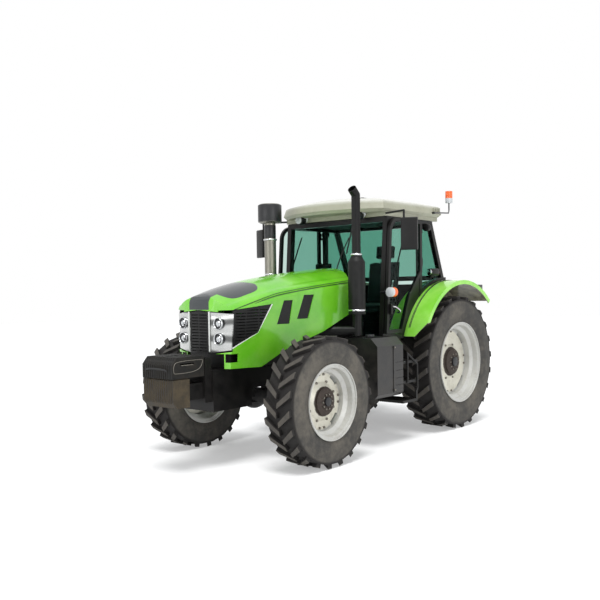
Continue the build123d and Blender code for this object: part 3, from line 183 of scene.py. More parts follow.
def distance_from(f, axle):
    """How far a point is from a wheel's axle."""
    across = f.place.axis(1) - axle.y
    rise = f.place.axis(2) - axle.z
    return (across * across + rise * rise) ** 0.5


# ---- finishes ------------------------------------------------------------------
HEAD_PLACE = 1.68           # the dark panel's head on the hood: its centre ahead of the origin
HEAD_HALF_LENGTH = 0.255
HEAD_HALF_WIDTH = 0.315


def hood_paint():
    """The green paint, with a dark panel that climbs from the grille and spreads into a rounded head."""
    f = Finish("hood_paint")
    cloud = f.noise(3.0, 4.0)
    colour = f.blend(cloud.step(0.3, 0.7), tint(92, 180, 24), tint(114, 196, 42))
    colour = f.blend(dust_mask(f, 0.9, 1.7, 0.25), colour, tint(150, 190, 100))
    x, y, z = f.place.axis(0).size(), f.place.axis(1), f.place.axis(2)
    along, across = (y + HEAD_PLACE) / HEAD_HALF_LENGTH, x / HEAD_HALF_WIDTH
    head = (along ** 4.0 + across ** 4.0).step(1.03, 0.99)
    notch = (1.0 - x / 0.2).larger(0.0) * 0.075
    head = head * (y + notch).step(-1.428, -1.436)
    neck = x.step(0.148, 0.142) * y.step(-1.88, -1.90) * z.step(1.604, 1.612)
    inside = head.larger(neck)
    colour = f.blend(inside, colour, tint(36, 43, 46))
    return f.surface(Base_Color=colour, Roughness=inside * 0.05 + 0.24, Coat_Weight=0.6,
                     Coat_Roughness=0.08, Specular_IOR_Level=0.45,
                     Normal=f.bump(f.noise(900.0, 2.0), 0.0002, 0.25))


def fender_paint():
    """The green paint outside; the inner face of the mudguard is bare and dusty."""
    f = Finish("fender_paint")
    cloud = f.noise(3.0, 4.0)
    colour = f.blend(cloud.step(0.3, 0.7), tint(122, 204, 54), tint(150, 218, 88))
    colour = f.blend(dust_mask(f, 0.9, 1.9, 0.3), colour, tint(160, 196, 112))
    radius = distance_from(f, REAR_WHEEL)
    under = radius.step(1.047, 1.043) * f.place.axis(0).size().step(1.0490, 1.0475)
    soil = f.blend(f.noise(9.0, 5.0).step(0.35, 0.7), tint(132, 130, 104), tint(96, 92, 74))
    colour = f.blend(under, colour, soil)
    return f.surface(Base_Color=colour, Roughness=under * 0.4 + 0.26, Coat_Weight=0.5, Coat_Roughness=0.1,
                     Specular_IOR_Level=0.45, Normal=f.bump(f.noise(900.0, 2.0), 0.0002, 0.25))


def black_paint():
    f = Finish("black_paint")
    dust = dust_mask(f, 0.35, 1.5, 0.55)
    worn = f.noise(14.0, 6.0, 0.7)
    colour = f.blend(dust, tint(8, 8, 9), tint(42, 39, 36))
    return f.surface(Base_Color=colour, Roughness=worn * 0.25 + dust * 0.3 + 0.25, Specular_IOR_Level=0.3,
                     Normal=f.bump(f.noise(220.0, 3.0), 0.0008, 0.35))


def black_plastic():
    f = Finish("black_plastic")
    dust = dust_mask(f, 0.5, 1.5, 0.45)
    grain = f.cells(420.0)
    colour = f.blend(dust, tint(11, 11, 12), tint(46, 43, 40))
    return f.surface(Base_Color=colour, Roughness=dust * 0.3 + 0.42, Specular_IOR_Level=0.3,
                     Normal=f.bump(grain, 0.0006, 0.4))


def tank_plastic():
    f = Finish("tank_plastic")
    dust = dust_mask(f, 0.5, 1.4, 0.75)
    colour = f.blend(dust, tint(12, 12, 13), tint(62, 58, 53))
    grain = f.cells(300.0)
    return f.surface(Base_Color=colour, Roughness=dust * 0.35 + 0.3, Normal=f.bump(grain, 0.0006, 0.4))


WEIGHTS_HALF_WIDTH = 0.224
PLATE_HALF_PITCH = 0.016


def weight_iron():
    """Cast plates side by side, dark above and brown below, with a line of painted shade for the gaps between
    plates, which falls down each plate's middle.
    """
    f = Finish("weight_iron")
    plate = f.node("ShaderNodeMath", {"operation": "PINGPONG"},
                   [f.place.axis(0) + WEIGHTS_HALF_WIDTH, PLATE_HALF_PITCH])
    # Painted shade: near-black lines stand for the shaded gaps between the plates.
    edge = plate.step(0.0125, 0.0105)
    rust = f.noise(9.0, 6.0, 0.7).step(0.35, 0.7)
    lower = f.blend(rust, tint(56, 50, 40), tint(80, 70, 54))
    upper = f.blend(rust, tint(20, 20, 19), tint(40, 37, 32))
    colour = f.blend(f.place.axis(2).step(0.960, 0.966), lower, upper)
    colour = f.blend(edge, tint(9, 9, 9), colour)
    pits = f.noise(160.0, 5.0, 0.7)
    return f.surface(Base_Color=colour, Roughness=rust * 0.2 + 0.6, Specular_IOR_Level=0.3,
                     Normal=f.bump(pits, 0.0025, 0.5))


def engine_iron():
    f = Finish("engine_iron")
    colour = f.blend(f.noise(12.0, 5.0).step(0.4, 0.7), tint(14, 14, 15), tint(32, 30, 28))
    return f.surface(Base_Color=colour, Roughness=0.65, Metallic=0.2,
                     Normal=f.bump(f.noise(120.0, 4.0), 0.002, 0.5))


def tyre_rubber(name, axle):
    """Dusty side walls with fine moulded rings, painted shade darkening the band between the lugs, and worn lug
    tops.
    """
    f = Finish(name)
    radius = distance_from(f, axle)
    outer = axle.z
    mud = (f.noise(2.6, 4.0, 0.6) * 0.7 + f.noise(18.0, 4.0, 0.6) * 0.35).step(0.38, 0.72)
    tops = radius.step(outer - 0.014, outer - 0.006)
    # Painted shade: the band between the lugs is darkened.
    gap_shade = radius.step(outer - 0.085, outer - 0.055) * (1.0 - tops)
    colour = f.blend(mud * 0.85, tint(58, 57, 55), tint(102, 97, 89))
    colour = f.blend(gap_shade, colour, tint(32, 30, 29))
    colour = f.blend(tops * (mud * 0.4 + 0.3), colour, tint(70, 65, 60))
    rings = (radius * 300.0).sine() * (1.0 - gap_shade) * (1.0 - tops)
    fine = f.noise(240.0, 3.0) + rings * 0.35
    return f.surface(Base_Color=colour, Roughness=mud * 0.15 + 0.68, Specular_IOR_Level=0.3,
                     Normal=f.bump(fine, 0.0016, 0.5))


def tyre_front():
    return tyre_rubber("tyre_rubber_front", FRONT_WHEEL)


def tyre_rear():
    return tyre_rubber("tyre_rubber_rear", REAR_WHEEL)


def rim_paint(name, axle, hub, disc):
    """Silver rim, cream disc, and a dark brown hub round the axle with grime about its edge."""
    f = Finish(name)
    radius = distance_from(f, axle)
    scuff = (f.noise(6.0, 6.0, 0.7) * 0.7 + f.noise(45.0, 5.0, 0.7) * 0.4).step(0.5, 0.85)
    colour = f.blend(radius.step(disc + 0.01, disc - 0.01), tint(186, 186, 182), tint(216, 213, 199))
    colour = f.blend(scuff * 0.6, colour, tint(140, 130, 112))
    core = (radius + f.noise(24.0, 4.0) * 0.016).step(hub + 0.016, hub + 0.006)
    colour = f.blend(core, colour, f.blend(f.noise(60.0, 4.0), tint(34, 28, 26), tint(74, 62, 54)))
    return f.surface(Base_Color=colour, Metallic=0.25, Roughness=scuff * 0.3 + core * 0.3 + 0.34,
                     Normal=f.bump(f.noise(80.0, 4.0), 0.0012, 0.3))


def rim_front():
    return rim_paint("rim_front_silver", FRONT_WHEEL, 0.150, 0.290)


def rim_rear():
    return rim_paint("rim_rear_silver", REAR_WHEEL, 0.186, 0.400)


def lamp_block():
    """The bright reflector block that holds a pair of headlamps, its colour banded light and dark by painted
    reflection.
    """
    f = Finish("lamp_block")
    wave = (f.place.axis(2) * 42.0 + f.noise(3.0, 2.0) * 5.0).sine()
    # Painted reflection: the chrome's colour runs in broad light and dark bands.
    colour = f.blend(wave.step(-0.4, 0.9), tint(188, 189, 188), tint(92, 93, 92))
    return f.surface(Base_Color=colour, Metallic=0.75, Roughness=wave * 0.03 + 0.14, Coat_Weight=0.8,
                     Normal=f.bump(wave, 0.002, 0.4))


def pane(name, colour):
    f = Finish(name)
    haze = f.noise(4.0, 4.0).step(0.4, 0.8)
    return f.surface(Base_Color=colour, Roughness=haze * 0.02, Transmission_Weight=1.0, IOR=1.1,
                     Specular_IOR_Level=0.9)


def clear_glass():
    return pane("cab_glass", tint(146, 192, 178))


def door_pane():
    return pane("door_glass", tint(196, 220, 212))


def roof_plastic():
    f = Finish("roof_plastic")
    grime = (f.noise(4.0, 6.0, 0.7) * 0.8 + f.noise(30.0, 4.0) * 0.3).step(0.45, 0.9)
    # Painted shade: the sides are a darker grey-beige than the white top, which is picked out by height. The grime
    # patches are dirt.
    colour = f.blend(grime * 0.6, tint(158, 158, 140), tint(118, 117, 98))
    colour = f.blend(f.place.axis(2).step(2.790, 2.850) * (1.0 - grime * 0.4), colour, tint(212, 212, 205))
    return f.surface(Base_Color=colour, Roughness=grime * 0.1 + 0.4,
                     Normal=f.bump(f.cells(260.0), 0.0005, 0.25))


def exhaust_black():
    f = Finish("exhaust_black")
    soot = f.noise(20.0, 5.0).step(0.4, 0.7)
    colour = f.blend(soot * 0.6, tint(9, 10, 10), tint(26, 26, 25))
    return f.surface(Base_Color=colour, Roughness=soot * 0.2 + 0.42, Specular_IOR_Level=0.25,
                     Normal=f.bump(f.noise(300.0, 3.0), 0.0008, 0.4))


def intake_steel():
    f = Finish("intake_steel")
    stretched = f.node("ShaderNodeMapping", {}, {"Vector": f.place, "Scale": (60.0, 60.0, 1.5)})
    streak = f.noise(8.0, 4.0, 0.6, stretched)
    colour = f.blend(streak.step(0.35, 0.7), tint(122, 120, 112), tint(150, 147, 136))
    return f.surface(Base_Color=colour, Metallic=0.85, Roughness=streak * 0.15 + 0.3,
                     Normal=f.bump(streak, 0.0006, 0.3))


def lamp_clear():
    f = Finish("lamp_clear")
    ribs = (f.place.axis(0) * 600.0).sine()
    return f.surface(Base_Color=tint(216, 220, 222), Roughness=f.noise(50.0, 3.0) * 0.08 + 0.06,
                     Normal=f.bump(ribs, 0.001, 0.3), Specular_IOR_Level=0.8, Coat_Weight=0.5)


def lamp_amber():
    """Black stalks and cases, an amber beacon, and markers white in front and amber behind."""
    f = Finish("signal_lamps")
    x, y, z = f.place.axis(0).size(), f.place.axis(1), f.place.axis(2)
    beacon = z.step(2.962, 2.966)
    marker = x.step(0.846, 0.850) * y.step(0.145, 0.140) * z.step(1.700, 1.702)
    colour = f.blend(beacon.larger(marker * y.step(0.074, 0.078)), tint(15, 15, 16), tint(236, 98, 22))
    colour = f.blend(marker * y.step(0.078, 0.074), colour, tint(196, 198, 198))
    return f.surface(Base_Color=colour, Roughness=f.noise(60.0, 3.0) * 0.1 + 0.2, Coat_Weight=0.4)


def bright_steel():
    f = Finish("bright_steel")
    worn = f.noise(60.0, 5.0)
    colour = f.blend(worn.step(0.4, 0.7), tint(150, 148, 144), tint(108, 104, 98))
    return f.surface(Base_Color=colour, Metallic=0.9, Roughness=worn * 0.3 + 0.25)


def seat_cloth():
    f = Finish("seat_cloth")
    weave = (f.place.axis(0) * 2600.0).sine() * (f.place.axis(2) * 2600.0).sine()
    return f.surface(Base_Color=tint(44, 46, 50), Roughness=0.9, Sheen_Weight=0.3,
                     Normal=f.bump(weave, 0.0008, 0.4))


def plain(name, colour, rough, **more):
    """A small part's finish: one colour with a fine break-up in its sheen."""
    f = Finish(name)
    fine = f.noise(90.0, 4.0)
    return f.surface(Base_Color=colour, Roughness=fine * 0.16 + rough,
                     Normal=f.bump(f.noise(260.0, 3.0), 0.0004, 0.3), **more)


def chrome():
    return plain("chrome", tint(206, 208, 210), 0.06, Metallic=1.0)


def mirror_glass():
    return plain("mirror_glass", tint(168, 178, 182), 0.0, Metallic=1.0)


def amber_lens():
    f = Finish("amber_lens")
    ribs = (f.place.axis(2) * 900.0).sine()
    return f.surface(Base_Color=tint(236, 98, 22), Roughness=0.16, Coat_Weight=0.6,
                     Normal=f.bump(ribs, 0.001, 0.35))


def red_lens():
    return plain("red_lens", tint(150, 20, 18), 0.1, Coat_Weight=0.6)


def white_lens():
    f = Finish("white_lens")
    ribs = (f.place.axis(0) * 700.0).sine() * (f.place.axis(2) * 700.0).sine()
    return f.surface(Base_Color=tint(186, 190, 192), Roughness=0.12, Coat_Weight=0.7,
                     Normal=f.bump(ribs, 0.0012, 0.4))


def dark_lens():
    return plain("dark_moulding", tint(24, 25, 28), 0.3)


def gasket():
    return plain("gasket_rubber", tint(16, 16, 17), 0.55)


def cabin_dark():
    return plain("cabin_lining", tint(20, 21, 24), 0.62)


def trim_white():
    return plain("trim_white", tint(206, 208, 204), 0.3, Coat_Weight=0.3)


def edge():
    return plain("worn_edge", tint(118, 114, 106), 0.5, Metallic=0.3)


def bolt_steel():
    return plain("bolt_steel", tint(128, 124, 116), 0.34, Metallic=0.8)


FINISH_OF_SLOT = {
    "black_paint": black_paint, "black_plastic": black_plastic,
    "weight_iron": weight_iron, "engine_iron": engine_iron, "tyre_rubber": tyre_front,
    "rim_silver": rim_front, "tinted_glass": clear_glass, "roof_white": roof_plastic,
    "exhaust_black": exhaust_black, "intake_steel": intake_steel, "lamp_clear": lamp_clear,
    "lamp_amber": lamp_amber, "mirror_black": black_plastic, "seat_cloth": seat_cloth,
    "steel": bright_steel,
}


FINISH_OF_NODE = {
    "hood_shell": hood_paint, "fender_left": fender_paint, "fender_right": fender_paint,
    "headlamps": lamp_block, "rim_rear_left": rim_rear, "rim_rear_right": rim_rear,
    "tyre_rear_left": tyre_rear, "tyre_rear_right": tyre_rear, "door_glass_left": door_pane,
    "door_glass_right": door_pane, "fuel_tank": tank_plastic,
}


# ---- hand work ------------------------------------------------------------------
SMOOTH_ANGLE = 32           # degrees; an edge that turns by more stays sharp
WELD_REACH = 0.00002


def deselect():
    bpy.ops.object.select_all(action="DESELECT")


def settle(piece, name, body, material, slot, angle=SMOOTH_ANGLE):
    """Names a new piece, puts its place into its mesh, and gives it a body and a finish; its slot argument is not
    used.
    """
    deselect()
    piece.select_set(True)
    bpy.context.view_layer.objects.active = piece
    bpy.ops.object.transform_apply(location=True, rotation=True, scale=True)
    piece.name = name
    piece.data.name = name
    piece.data.materials.clear()
    piece.data.materials.append(material)
    bpy.ops.object.shade_smooth_by_angle(angle=math.radians(angle))
    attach(piece, body)
    return piece


def soften(piece, width, segments=2):
    """Rounds every edge of a piece by hand in edit mode."""
    deselect()
    piece.select_set(True)
    bpy.context.view_layer.objects.active = piece
    bpy.ops.object.transform_apply(location=False, rotation=False, scale=True)
    bpy.ops.object.mode_set(mode="EDIT")
    bpy.ops.mesh.select_all(action="SELECT")
    bpy.ops.mesh.bevel(offset=width, segments=segments, affect="EDGES")
    bpy.ops.object.mode_set(mode="OBJECT")


def slab(name, body, centre, size, look, turn=(0, 0, 0), round_by=0.0):
    """A plate or box with softened edges; look is (material, slot)."""
    deselect()
    bpy.ops.mesh.primitive_cube_add(size=1.0, location=centre, rotation=[math.radians(t) for t in turn])
    piece = bpy.context.object
    piece.scale = size
    if round_by:
        soften(piece, round_by, 3)
    return settle(piece, name, body, *look)


def barrel(name, body, start, end, radius, look, sides=32, round_by=0.0, radius_end=None):
    """A round piece from one point to another."""
    start, end = Vector(start), Vector(end)
    axis = end - start
    deselect()
    bpy.ops.mesh.primitive_cone_add(vertices=sides, radius1=radius,
                                    radius2=radius if radius_end is None else radius_end,
                                    depth=axis.length, location=(start + end) / 2,
                                    rotation=axis.to_track_quat("Z", "Y").to_euler())
    piece = bpy.context.object
    bpy.ops.object.mode_set(mode="EDIT")
    bpy.ops.mesh.select_mode(type="EDGE")
    bpy.ops.mesh.select_all(action="DESELECT")
    bpy.ops.mesh.edges_select_sharp(sharpness=math.radians(60.5))
    bpy.ops.mesh.bevel(offset=round_by or radius * 0.08, segments=2, affect="EDGES")
    bpy.ops.object.mode_set(mode="OBJECT")
    return settle(piece, name, body, *look)


def ring(name, body, centre, axis, radius, thick, look, sides=48):
    deselect()
    bpy.ops.mesh.primitive_torus_add(major_radius=radius, minor_radius=thick, major_segments=sides,
                                     minor_segments=10, location=centre,
                                     rotation=Vector(axis).to_track_quat("Z", "Y").to_euler())
    bpy.context.object.scale = (1.0, 1.0, 2.0)
    return settle(bpy.context.object, name, body, *look)


def rail(name, body, points, radius, look, smooth=True, closed=False):
    """A bent bar, hose or seam through points."""
    line = bpy.data.curves.new(name, "CURVE")
    line.dimensions = "3D"
    line.bevel_depth = radius
    line.bevel_resolution = 3
    line.resolution_u = 6 if smooth else 1
    line.use_fill_caps = True
    run = line.splines.new("NURBS" if smooth else "POLY")
    run.points.add(len(points) - 1)
    for spot, place in zip(run.points, points):
        spot.co = (*place, 1.0)
    run.use_cyclic_u = closed
    if smooth:
        run.order_u = 3
        run.use_endpoint_u = not closed
    made = bpy.data.objects.new(name, line)
    bpy.context.scene.collection.objects.link(made)
    deselect()
    made.select_set(True)
    bpy.context.view_layer.objects.active = made
    bpy.ops.object.convert(target="MESH")
    return settle(bpy.context.object, name, body, *look)


def join_as(name, body, group):
    """Several small pieces made into one."""
    deselect()
    for piece in group:
        piece.select_set(True)
    bpy.context.view_layer.objects.active = group[0]
    bpy.ops.object.join()
    joined = bpy.context.object
    joined.name = name
    joined.data.name = name
    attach(joined, body)
    return joined


def both(maker):
    """Runs a maker for the left side and for the right side."""
    for side, label in ((1, "left"), (-1, "right")):
        maker(side, label)


def dress_frame():
    """Each CAD node gets its finish; its loose triangles are welded and shaded smooth up to sharp edges."""
    made = {}
    for part in frame["record"]["subparts"]:
        maker = FINISH_OF_NODE.get(part["node"]) or FINISH_OF_SLOT[part["material_slot"]]
        if maker not in made:
            made[maker] = maker()
        node = NODES[part["node"]]
        node.data.materials.clear()
        node.data.materials.append(made[maker])
        for face in node.data.polygons:
            face.use_smooth = True
        weld = node.modifiers.new("weld", "WELD")
        weld.merge_threshold = WELD_REACH
        split = node.modifiers.new("sharp", "EDGE_SPLIT")
        split.split_angle = math.radians(SMOOTH_ANGLE)
    return {maker.__name__: material for maker, material in made.items()}


L = {}  # filled by looks(): the material and the slot of each small look


def looks():
    """Every look by a short name: the material and the slot it belongs to."""
    made = {maker.__name__: maker() for maker in (
        chrome, mirror_glass, amber_lens, red_lens, white_lens, dark_lens, gasket, cabin_dark,
        trim_white, bolt_steel, edge)}
    slots = {"chrome": "steel", "mirror_glass": "steel", "amber_lens": "lamp_amber",
             "red_lens": "lamp_amber", "white_lens": "lamp_clear", "dark_lens": "black_plastic",
             "gasket": "black_plastic", "cabin_dark": "black_plastic", "trim_white": "roof_white",
             "bolt_steel": "steel", "edge": "weight_iron"}
    L.update({name: (material, slots[name]) for name, material in made.items()})
    L["black"] = (FINISHES["black_plastic"], "black_plastic")
    L["cloth"] = (FINISHES["seat_cloth"], "seat_cloth")


# For each pair of wheels: its axle, how far out from it the disc and the hub's face lie, and the
# radii of the circles of rim lugs, disc bolts and hub bolts.
WHEEL_FACES = {"front": (FRONT_WHEEL, 0.015, 0.092, 0.272, 0.205, 0.075),
               "rear": (REAR_WHEEL, 0.025, 0.102, 0.388, 0.228, 0.100)}
BOLT_SUNK, BOLT_PROUD = 0.006, 0.014
LUG_SPREAD = 0.13           # radians, from the middle of a pair of rim lugs to each


def bolt_circle(side, body, centre, radius, turns, size):
    """Bolts round an axle: one is modelled, and the others are copies, each with its own mesh."""
    spots = [centre + Vector((0, radius * math.cos(turn), radius * math.sin(turn))) for turn in turns]
    out = Vector((side, 0, 0))
    first = barrel("bolt", body, spots[0] - out * BOLT_SUNK, spots[0] + out * BOLT_PROUD, size,
                   L["bolt_steel"], 6)
    circle = [first]
    for spot in spots[1:]:
        bolt = first.copy()
        bolt.data = first.data.copy()
        bolt.data.transform(Matrix.Translation(spot - spots[0]))
        bpy.context.scene.collection.objects.link(bolt)
        circle.append(bolt)
    return circle


def wheel_bolts(side, label):
    """Rim lugs in pairs, disc bolts, hub bolts and a hub cap on the outer face of each wheel."""
    for end, (axle, disc, hub_face, lugs_r, disc_r, hub_r) in WHEEL_FACES.items():
        body = f"wheel_{end}_{label}"
        x = side * axle.x
        on_disc = Vector((x + side * disc, axle.y, axle.z))
        on_hub = Vector((x + side * hub_face, axle.y, axle.z))
        lugs = [math.radians(90 * i) + shift for i in range(4) for shift in (-LUG_SPREAD, LUG_SPREAD)]
        eight = [math.radians(45 * i + 22.5) for i in range(8)]
        ten = [math.radians(36 * i) for i in range(10)]
        group = (bolt_circle(side, body, on_disc, lugs_r, lugs, 0.013)
                 + bolt_circle(side, body, on_disc, disc_r, eight, 0.014)
                 + bolt_circle(side, body, on_hub, hub_r, ten, 0.009))
        join_as(f"bolts_{end}_{label}", body, group)
        barrel(f"hub_cap_{end}_{label}", body, (x + side * (hub_face - 0.002), axle.y, axle.z),
               (x + side * (hub_face + 0.022), axle.y, axle.z), hub_r * 0.62, L["dark_lens"], 40, 0.006)


def headlamp_units(side, label):
    """Two round lamps one over the other on the bright block, with a bright strip beside the grille."""
    for i, z in enumerate((1.318, 1.472)):
        face = Vector((side * 0.262, -2.030, z))
        ahead = Vector((0, -1, 0))
        ring(f"headlamp_rim_{label}_{i}", "hood", face, ahead, 0.056, 0.006, L["chrome"], 48)
        barrel(f"headlamp_bowl_{label}_{i}", "hood", face - ahead * 0.040, face + ahead * 0.002, 0.053,
               L["dark_lens"], 48, 0.004)
        barrel(f"headlamp_bulb_{label}_{i}", "hood", face, face + ahead * 0.012, 0.034, L["chrome"], 40,
               0.003, 0.020)
        barrel(f"headlamp_lens_{label}_{i}", "hood", face, face + ahead * 0.017, 0.016, L["white_lens"],
               32, 0.003)
    slab(f"lamp_strip_{label}", "hood", (side * 0.150, -2.048, 1.390), (0.016, 0.012, 0.400),
         L["trim_white"], (0, 0, 0), 0.004)


def hood_trim(side, label):
    """Two dark lines of painted shade at the seams along the hood's upper edge, and the white line under its side
    mesh.
    """
    upper = [(-1.949, 1.607), (-1.470, 1.741), (-1.253, 1.782), (-0.510, 1.867), (0.040, 1.917)]
    width = [0.405, 0.431, 0.440, 0.461, 0.470]
    # Painted shade: thin dark rods lie where the seams' gaps would be shaded.
    for i, lift in enumerate((0.0, 0.022)):
        points = [(side * (w - 0.001), y, z - lift) for (y, z), w in zip(upper, width)]
        rail(f"hood_seam_shade_{label}_{i}", "hood", points, 0.0035, L["gasket"])
    edge = [(-1.425, 1.652, 0.4345), (-1.606, 1.368, 0.3975), (-1.800, 1.290, 0.3905),
            (-1.960, 1.226, 0.3860)]
    rail(f"mesh_edge_{label}", "hood", [(side * w, y, z) for y, z, w in edge], 0.006, L["trim_white"],
         False)


DOOR_HINGE = Vector((-0.800, 0.915, 0))
DOOR_AJAR = math.radians(-8.0)


def door_fittings(side, label):
    """A looped handle and the gas strut; the right door hangs open by its angle."""
    turn = Matrix.Identity(4)
    if side < 0:
        turn = (Matrix.Translation(DOOR_HINGE) @ Matrix.Rotation(DOOR_AJAR, 4, "Z")
                @ Matrix.Translation(-DOOR_HINGE))
    at = lambda x, y, z: tuple(turn @ Vector((side * x, y, z)))
    body = f"door_{label}"
    loop = [at(0.816, 0.205, 1.590), at(0.858, 0.214, 1.592), at(0.866, 0.262, 1.575),
            at(0.866, 0.318, 1.545), at(0.858, 0.330, 1.520), at(0.816, 0.330, 1.515)]
    rail(f"door_handle_{label}", body, loop, 0.009, L["chrome"])
    strut = [at(0.790, 0.560, 2.500), at(0.786, 0.300, 1.900)]
    barrel(f"door_strut_{label}", body, strut[0], strut[1], 0.009, L["black"], 20)
    barrel(f"door_strut_rod_{label}", body, strut[1], at(0.786, 0.255, 1.795), 0.005, L["chrome"], 16)


def cab_inside():
    """The dark lining, side console, monitor and levers that show through the glass, and the wiper."""
    slab("headliner", "chassis", (0, 0.700, 2.628), (1.380, 0.900, 0.018), L["cabin_dark"], (0, 0, 0),
         0.004)
    slab("floor_mat", "chassis", (0, 0.680, 1.106), (1.000, 1.050, 0.010), L["cabin_dark"], (0, 0, 0),
         0.003)
    slab("side_console", "chassis", (-0.400, 0.980, 1.440), (0.160, 0.420, 0.300), L["cabin_dark"],
         (0, 0, 0), 0.030)
    slab("instrument_hood", "chassis", (0, 0.330, 1.800), (0.400, 0.190, 0.080), L["cabin_dark"],
         (14, 0, 0), 0.026)
    rail("monitor_arm", "chassis",
         [(-0.400, 0.860, 1.560), (-0.430, 0.700, 1.760), (-0.420, 0.520, 1.960)], 0.012, L["cabin_dark"])
    slab("monitor", "chassis", (-0.420, 0.495, 2.040), (0.250, 0.034, 0.190), L["cabin_dark"], (0, 0, 0),
         0.010)
    for i, y in enumerate((0.900, 1.000, 1.100)):
        foot = (-0.400, y, 1.585)
        barrel(f"lever_{i}", "chassis", foot, (-0.400, y - 0.020, 1.690), 0.006, L["chrome"], 16)
        barrel(f"lever_knob_{i}", "chassis", (-0.400, y - 0.018, 1.680), (-0.400, y - 0.026, 1.722), 0.015,
               L["cabin_dark"], 24, 0.005)
    rail("wiper_arm", "chassis", [(0.050, 0.128, 1.955), (0.090, 0.140, 2.150), (0.250, 0.158, 2.420)],
         0.007, L["gasket"])
    rail("wiper_blade", "chassis", [(0.215, 0.150, 2.230), (0.290, 0.170, 2.540)], 0.009, L["gasket"],
         False)


SEAL_CENTRE = (1.530, 0.850)    # y and z of the fender's arc
SEAL_RADIUS = 1.054


def outside_fittings(side, label):
    """Mirrors, fender seals, the lamps beside the rear window, and marker and tail lenses."""
    turn = math.radians(22.0 * side)
    centre = Vector((side * 1.142, 0.100, 2.415))
    out = Vector((-math.sin(turn), math.cos(turn), 0))
    slab(f"mirror_glass_{label}", "chassis", centre + out * 0.0262, (0.156, 0.004, 0.322),
         L["mirror_glass"], (0, 0, math.degrees(turn)), 0.0015)
    slab(f"mirror_shell_{label}", "chassis", centre - out * 0.020, (0.190, 0.030, 0.366), L["black"],
         (0, 0, math.degrees(turn)), 0.014)
    arc = []
    for i in range(19):
        angle = math.radians(52 + i * 5.6)
        arc.append((SEAL_CENTRE[0] + SEAL_RADIUS * math.cos(angle),
                    SEAL_CENTRE[1] + SEAL_RADIUS * math.sin(angle)))
    for i, x in enumerate((0.809, 0.824)):
        rail(f"fender_seal_{label}_{i}", "chassis", [(side * x, y, z) for y, z in arc[2:]], 0.004,
             L["gasket"])
    slab(f"side_lamp_case_{label}", "chassis", (side * 0.800, 1.185, 2.005), (0.086, 0.180, 0.088),
         L["black"], (0, 0, 0), 0.020)
    slab(f"side_lamp_foot_{label}", "chassis", (side * 0.766, 1.185, 1.965), (0.044, 0.060, 0.050),
         L["black"], (0, 0, 0), 0.006)
    barrel(f"side_lamp_front_{label}", "chassis", (side * 0.800, 1.105, 2.005),
           (side * 0.800, 1.084, 2.005), 0.036, L["chrome"], 40, 0.006)
    barrel(f"side_lamp_rear_{label}", "chassis", (side * 0.800, 1.265, 2.005),
           (side * 0.800, 1.286, 2.005), 0.034, L["red_lens"], 40, 0.006)
    barrel(f"rear_work_lamp_{label}", "chassis", (side * 0.806, 0.995, 2.556),
           (side * 0.806, 1.060, 2.556), 0.048, L["black"], 40, 0.010)
    slab(f"rear_work_foot_{label}", "chassis", (side * 0.768, 1.025, 2.590), (0.050, 0.030, 0.030),
         L["black"], (0, 0, 0), 0.004)
    barrel(f"marker_lens_{label}", "chassis", (side * 0.905, 0.050, 1.760), (side * 0.905, 0.036, 1.760),
           0.051, L["white_lens"] if side > 0 else L["amber_lens"], 40, 0.006)
    slab(f"tail_lens_{label}", "chassis", (side * 0.955, 2.063, 1.800), (0.120, 0.012, 0.080),
         L["red_lens"], (0, 0, 0), 0.004)


def roof_fittings():
    corners = [(-0.335, 0.330, 2.903), (-0.335, 0.910, 2.903), (0.335, 0.910, 2.903),
               (0.335, 0.330, 2.903)]
    rail("roof_gasket", "chassis", corners, 0.008, L["gasket"], False, True)
    barrel("beacon_dome", "chassis", (0.795, 1.600, 2.966), (0.795, 1.600, 3.058), 0.0468, L["amber_lens"],
           48, 0.016)
    barrel("beacon_foot", "chassis", (0.795, 1.600, 2.902), (0.795, 1.600, 2.966), 0.0472, L["white_lens"],
           48, 0.004)
    for i, x in enumerate((-0.445, 0.445)):
        barrel(f"roof_lamp_body_{i}", "chassis", (x, 0.130, 2.674), (x, 0.040, 2.672), 0.056,
               L["dark_lens"], 40, 0.010)
        barrel(f"roof_lamp_lens_{i}", "chassis", (x, 0.046, 2.672), (x, 0.032, 2.672), 0.047,
               L["white_lens"], 40, 0.004)


STACK_X, STACK_Y = 0.660, -0.255


def stack_fittings():
    for i, z in enumerate((1.560, 2.190)):
        ring(f"exhaust_clamp_{i}", "chassis", (STACK_X, STACK_Y, z), (0, 0, 1), 0.099 if i == 0 else 0.063,
             0.005, L["chrome"])
    for i, z in enumerate((1.420, 2.000, 2.428)):
        ring(f"intake_clamp_{i}", "chassis", (-STACK_X, STACK_Y, z), (0, 0, 1), 0.0735 if i < 2 else 0.079,
             0.004, L["chrome"])
    barrel("intake_neck", "chassis", (-STACK_X, STACK_Y, 2.445), (-STACK_X, STACK_Y, 2.606), 0.0715,
           L["dark_lens"], 48, 0.004)
    barrel("bowl_cover", "chassis", (-STACK_X, STACK_Y, 2.640), (-STACK_X, STACK_Y, 2.858), 0.1465,
           L["dark_lens"], 64, 0.012)


def weight_fittings():
    rail("weight_handle", "chassis",
         [(-0.150, -2.601, 1.040), (-0.150, -2.618, 1.060), (0.150, -2.618, 1.060),
          (0.150, -2.601, 1.040)], 0.009, L["gasket"])
    slab("weight_key", "chassis", (0, -2.405, 1.169), (0.024, 0.150, 0.010), L["gasket"], (0, 0, 0), 0.003)
    for side, label in ((1, "left"), (-1, "right")):
        border = [(-2.200, 1.120), (-2.255, 1.020), (-2.560, 1.012), (-2.575, 1.030), (-2.575, 1.085),
                  (-2.545, 1.132), (-2.215, 1.132)]
        rail(f"weight_border_{label}", "chassis", [(side * 0.220, y, z) for y, z in border], 0.003,
             L["edge"], True, True)
        slab(f"weight_grip_{label}", "chassis", (side * 0.219, -2.405, 1.089), (0.008, 0.150, 0.007),
             L["edge"], (0, 0, 0), 0.002)


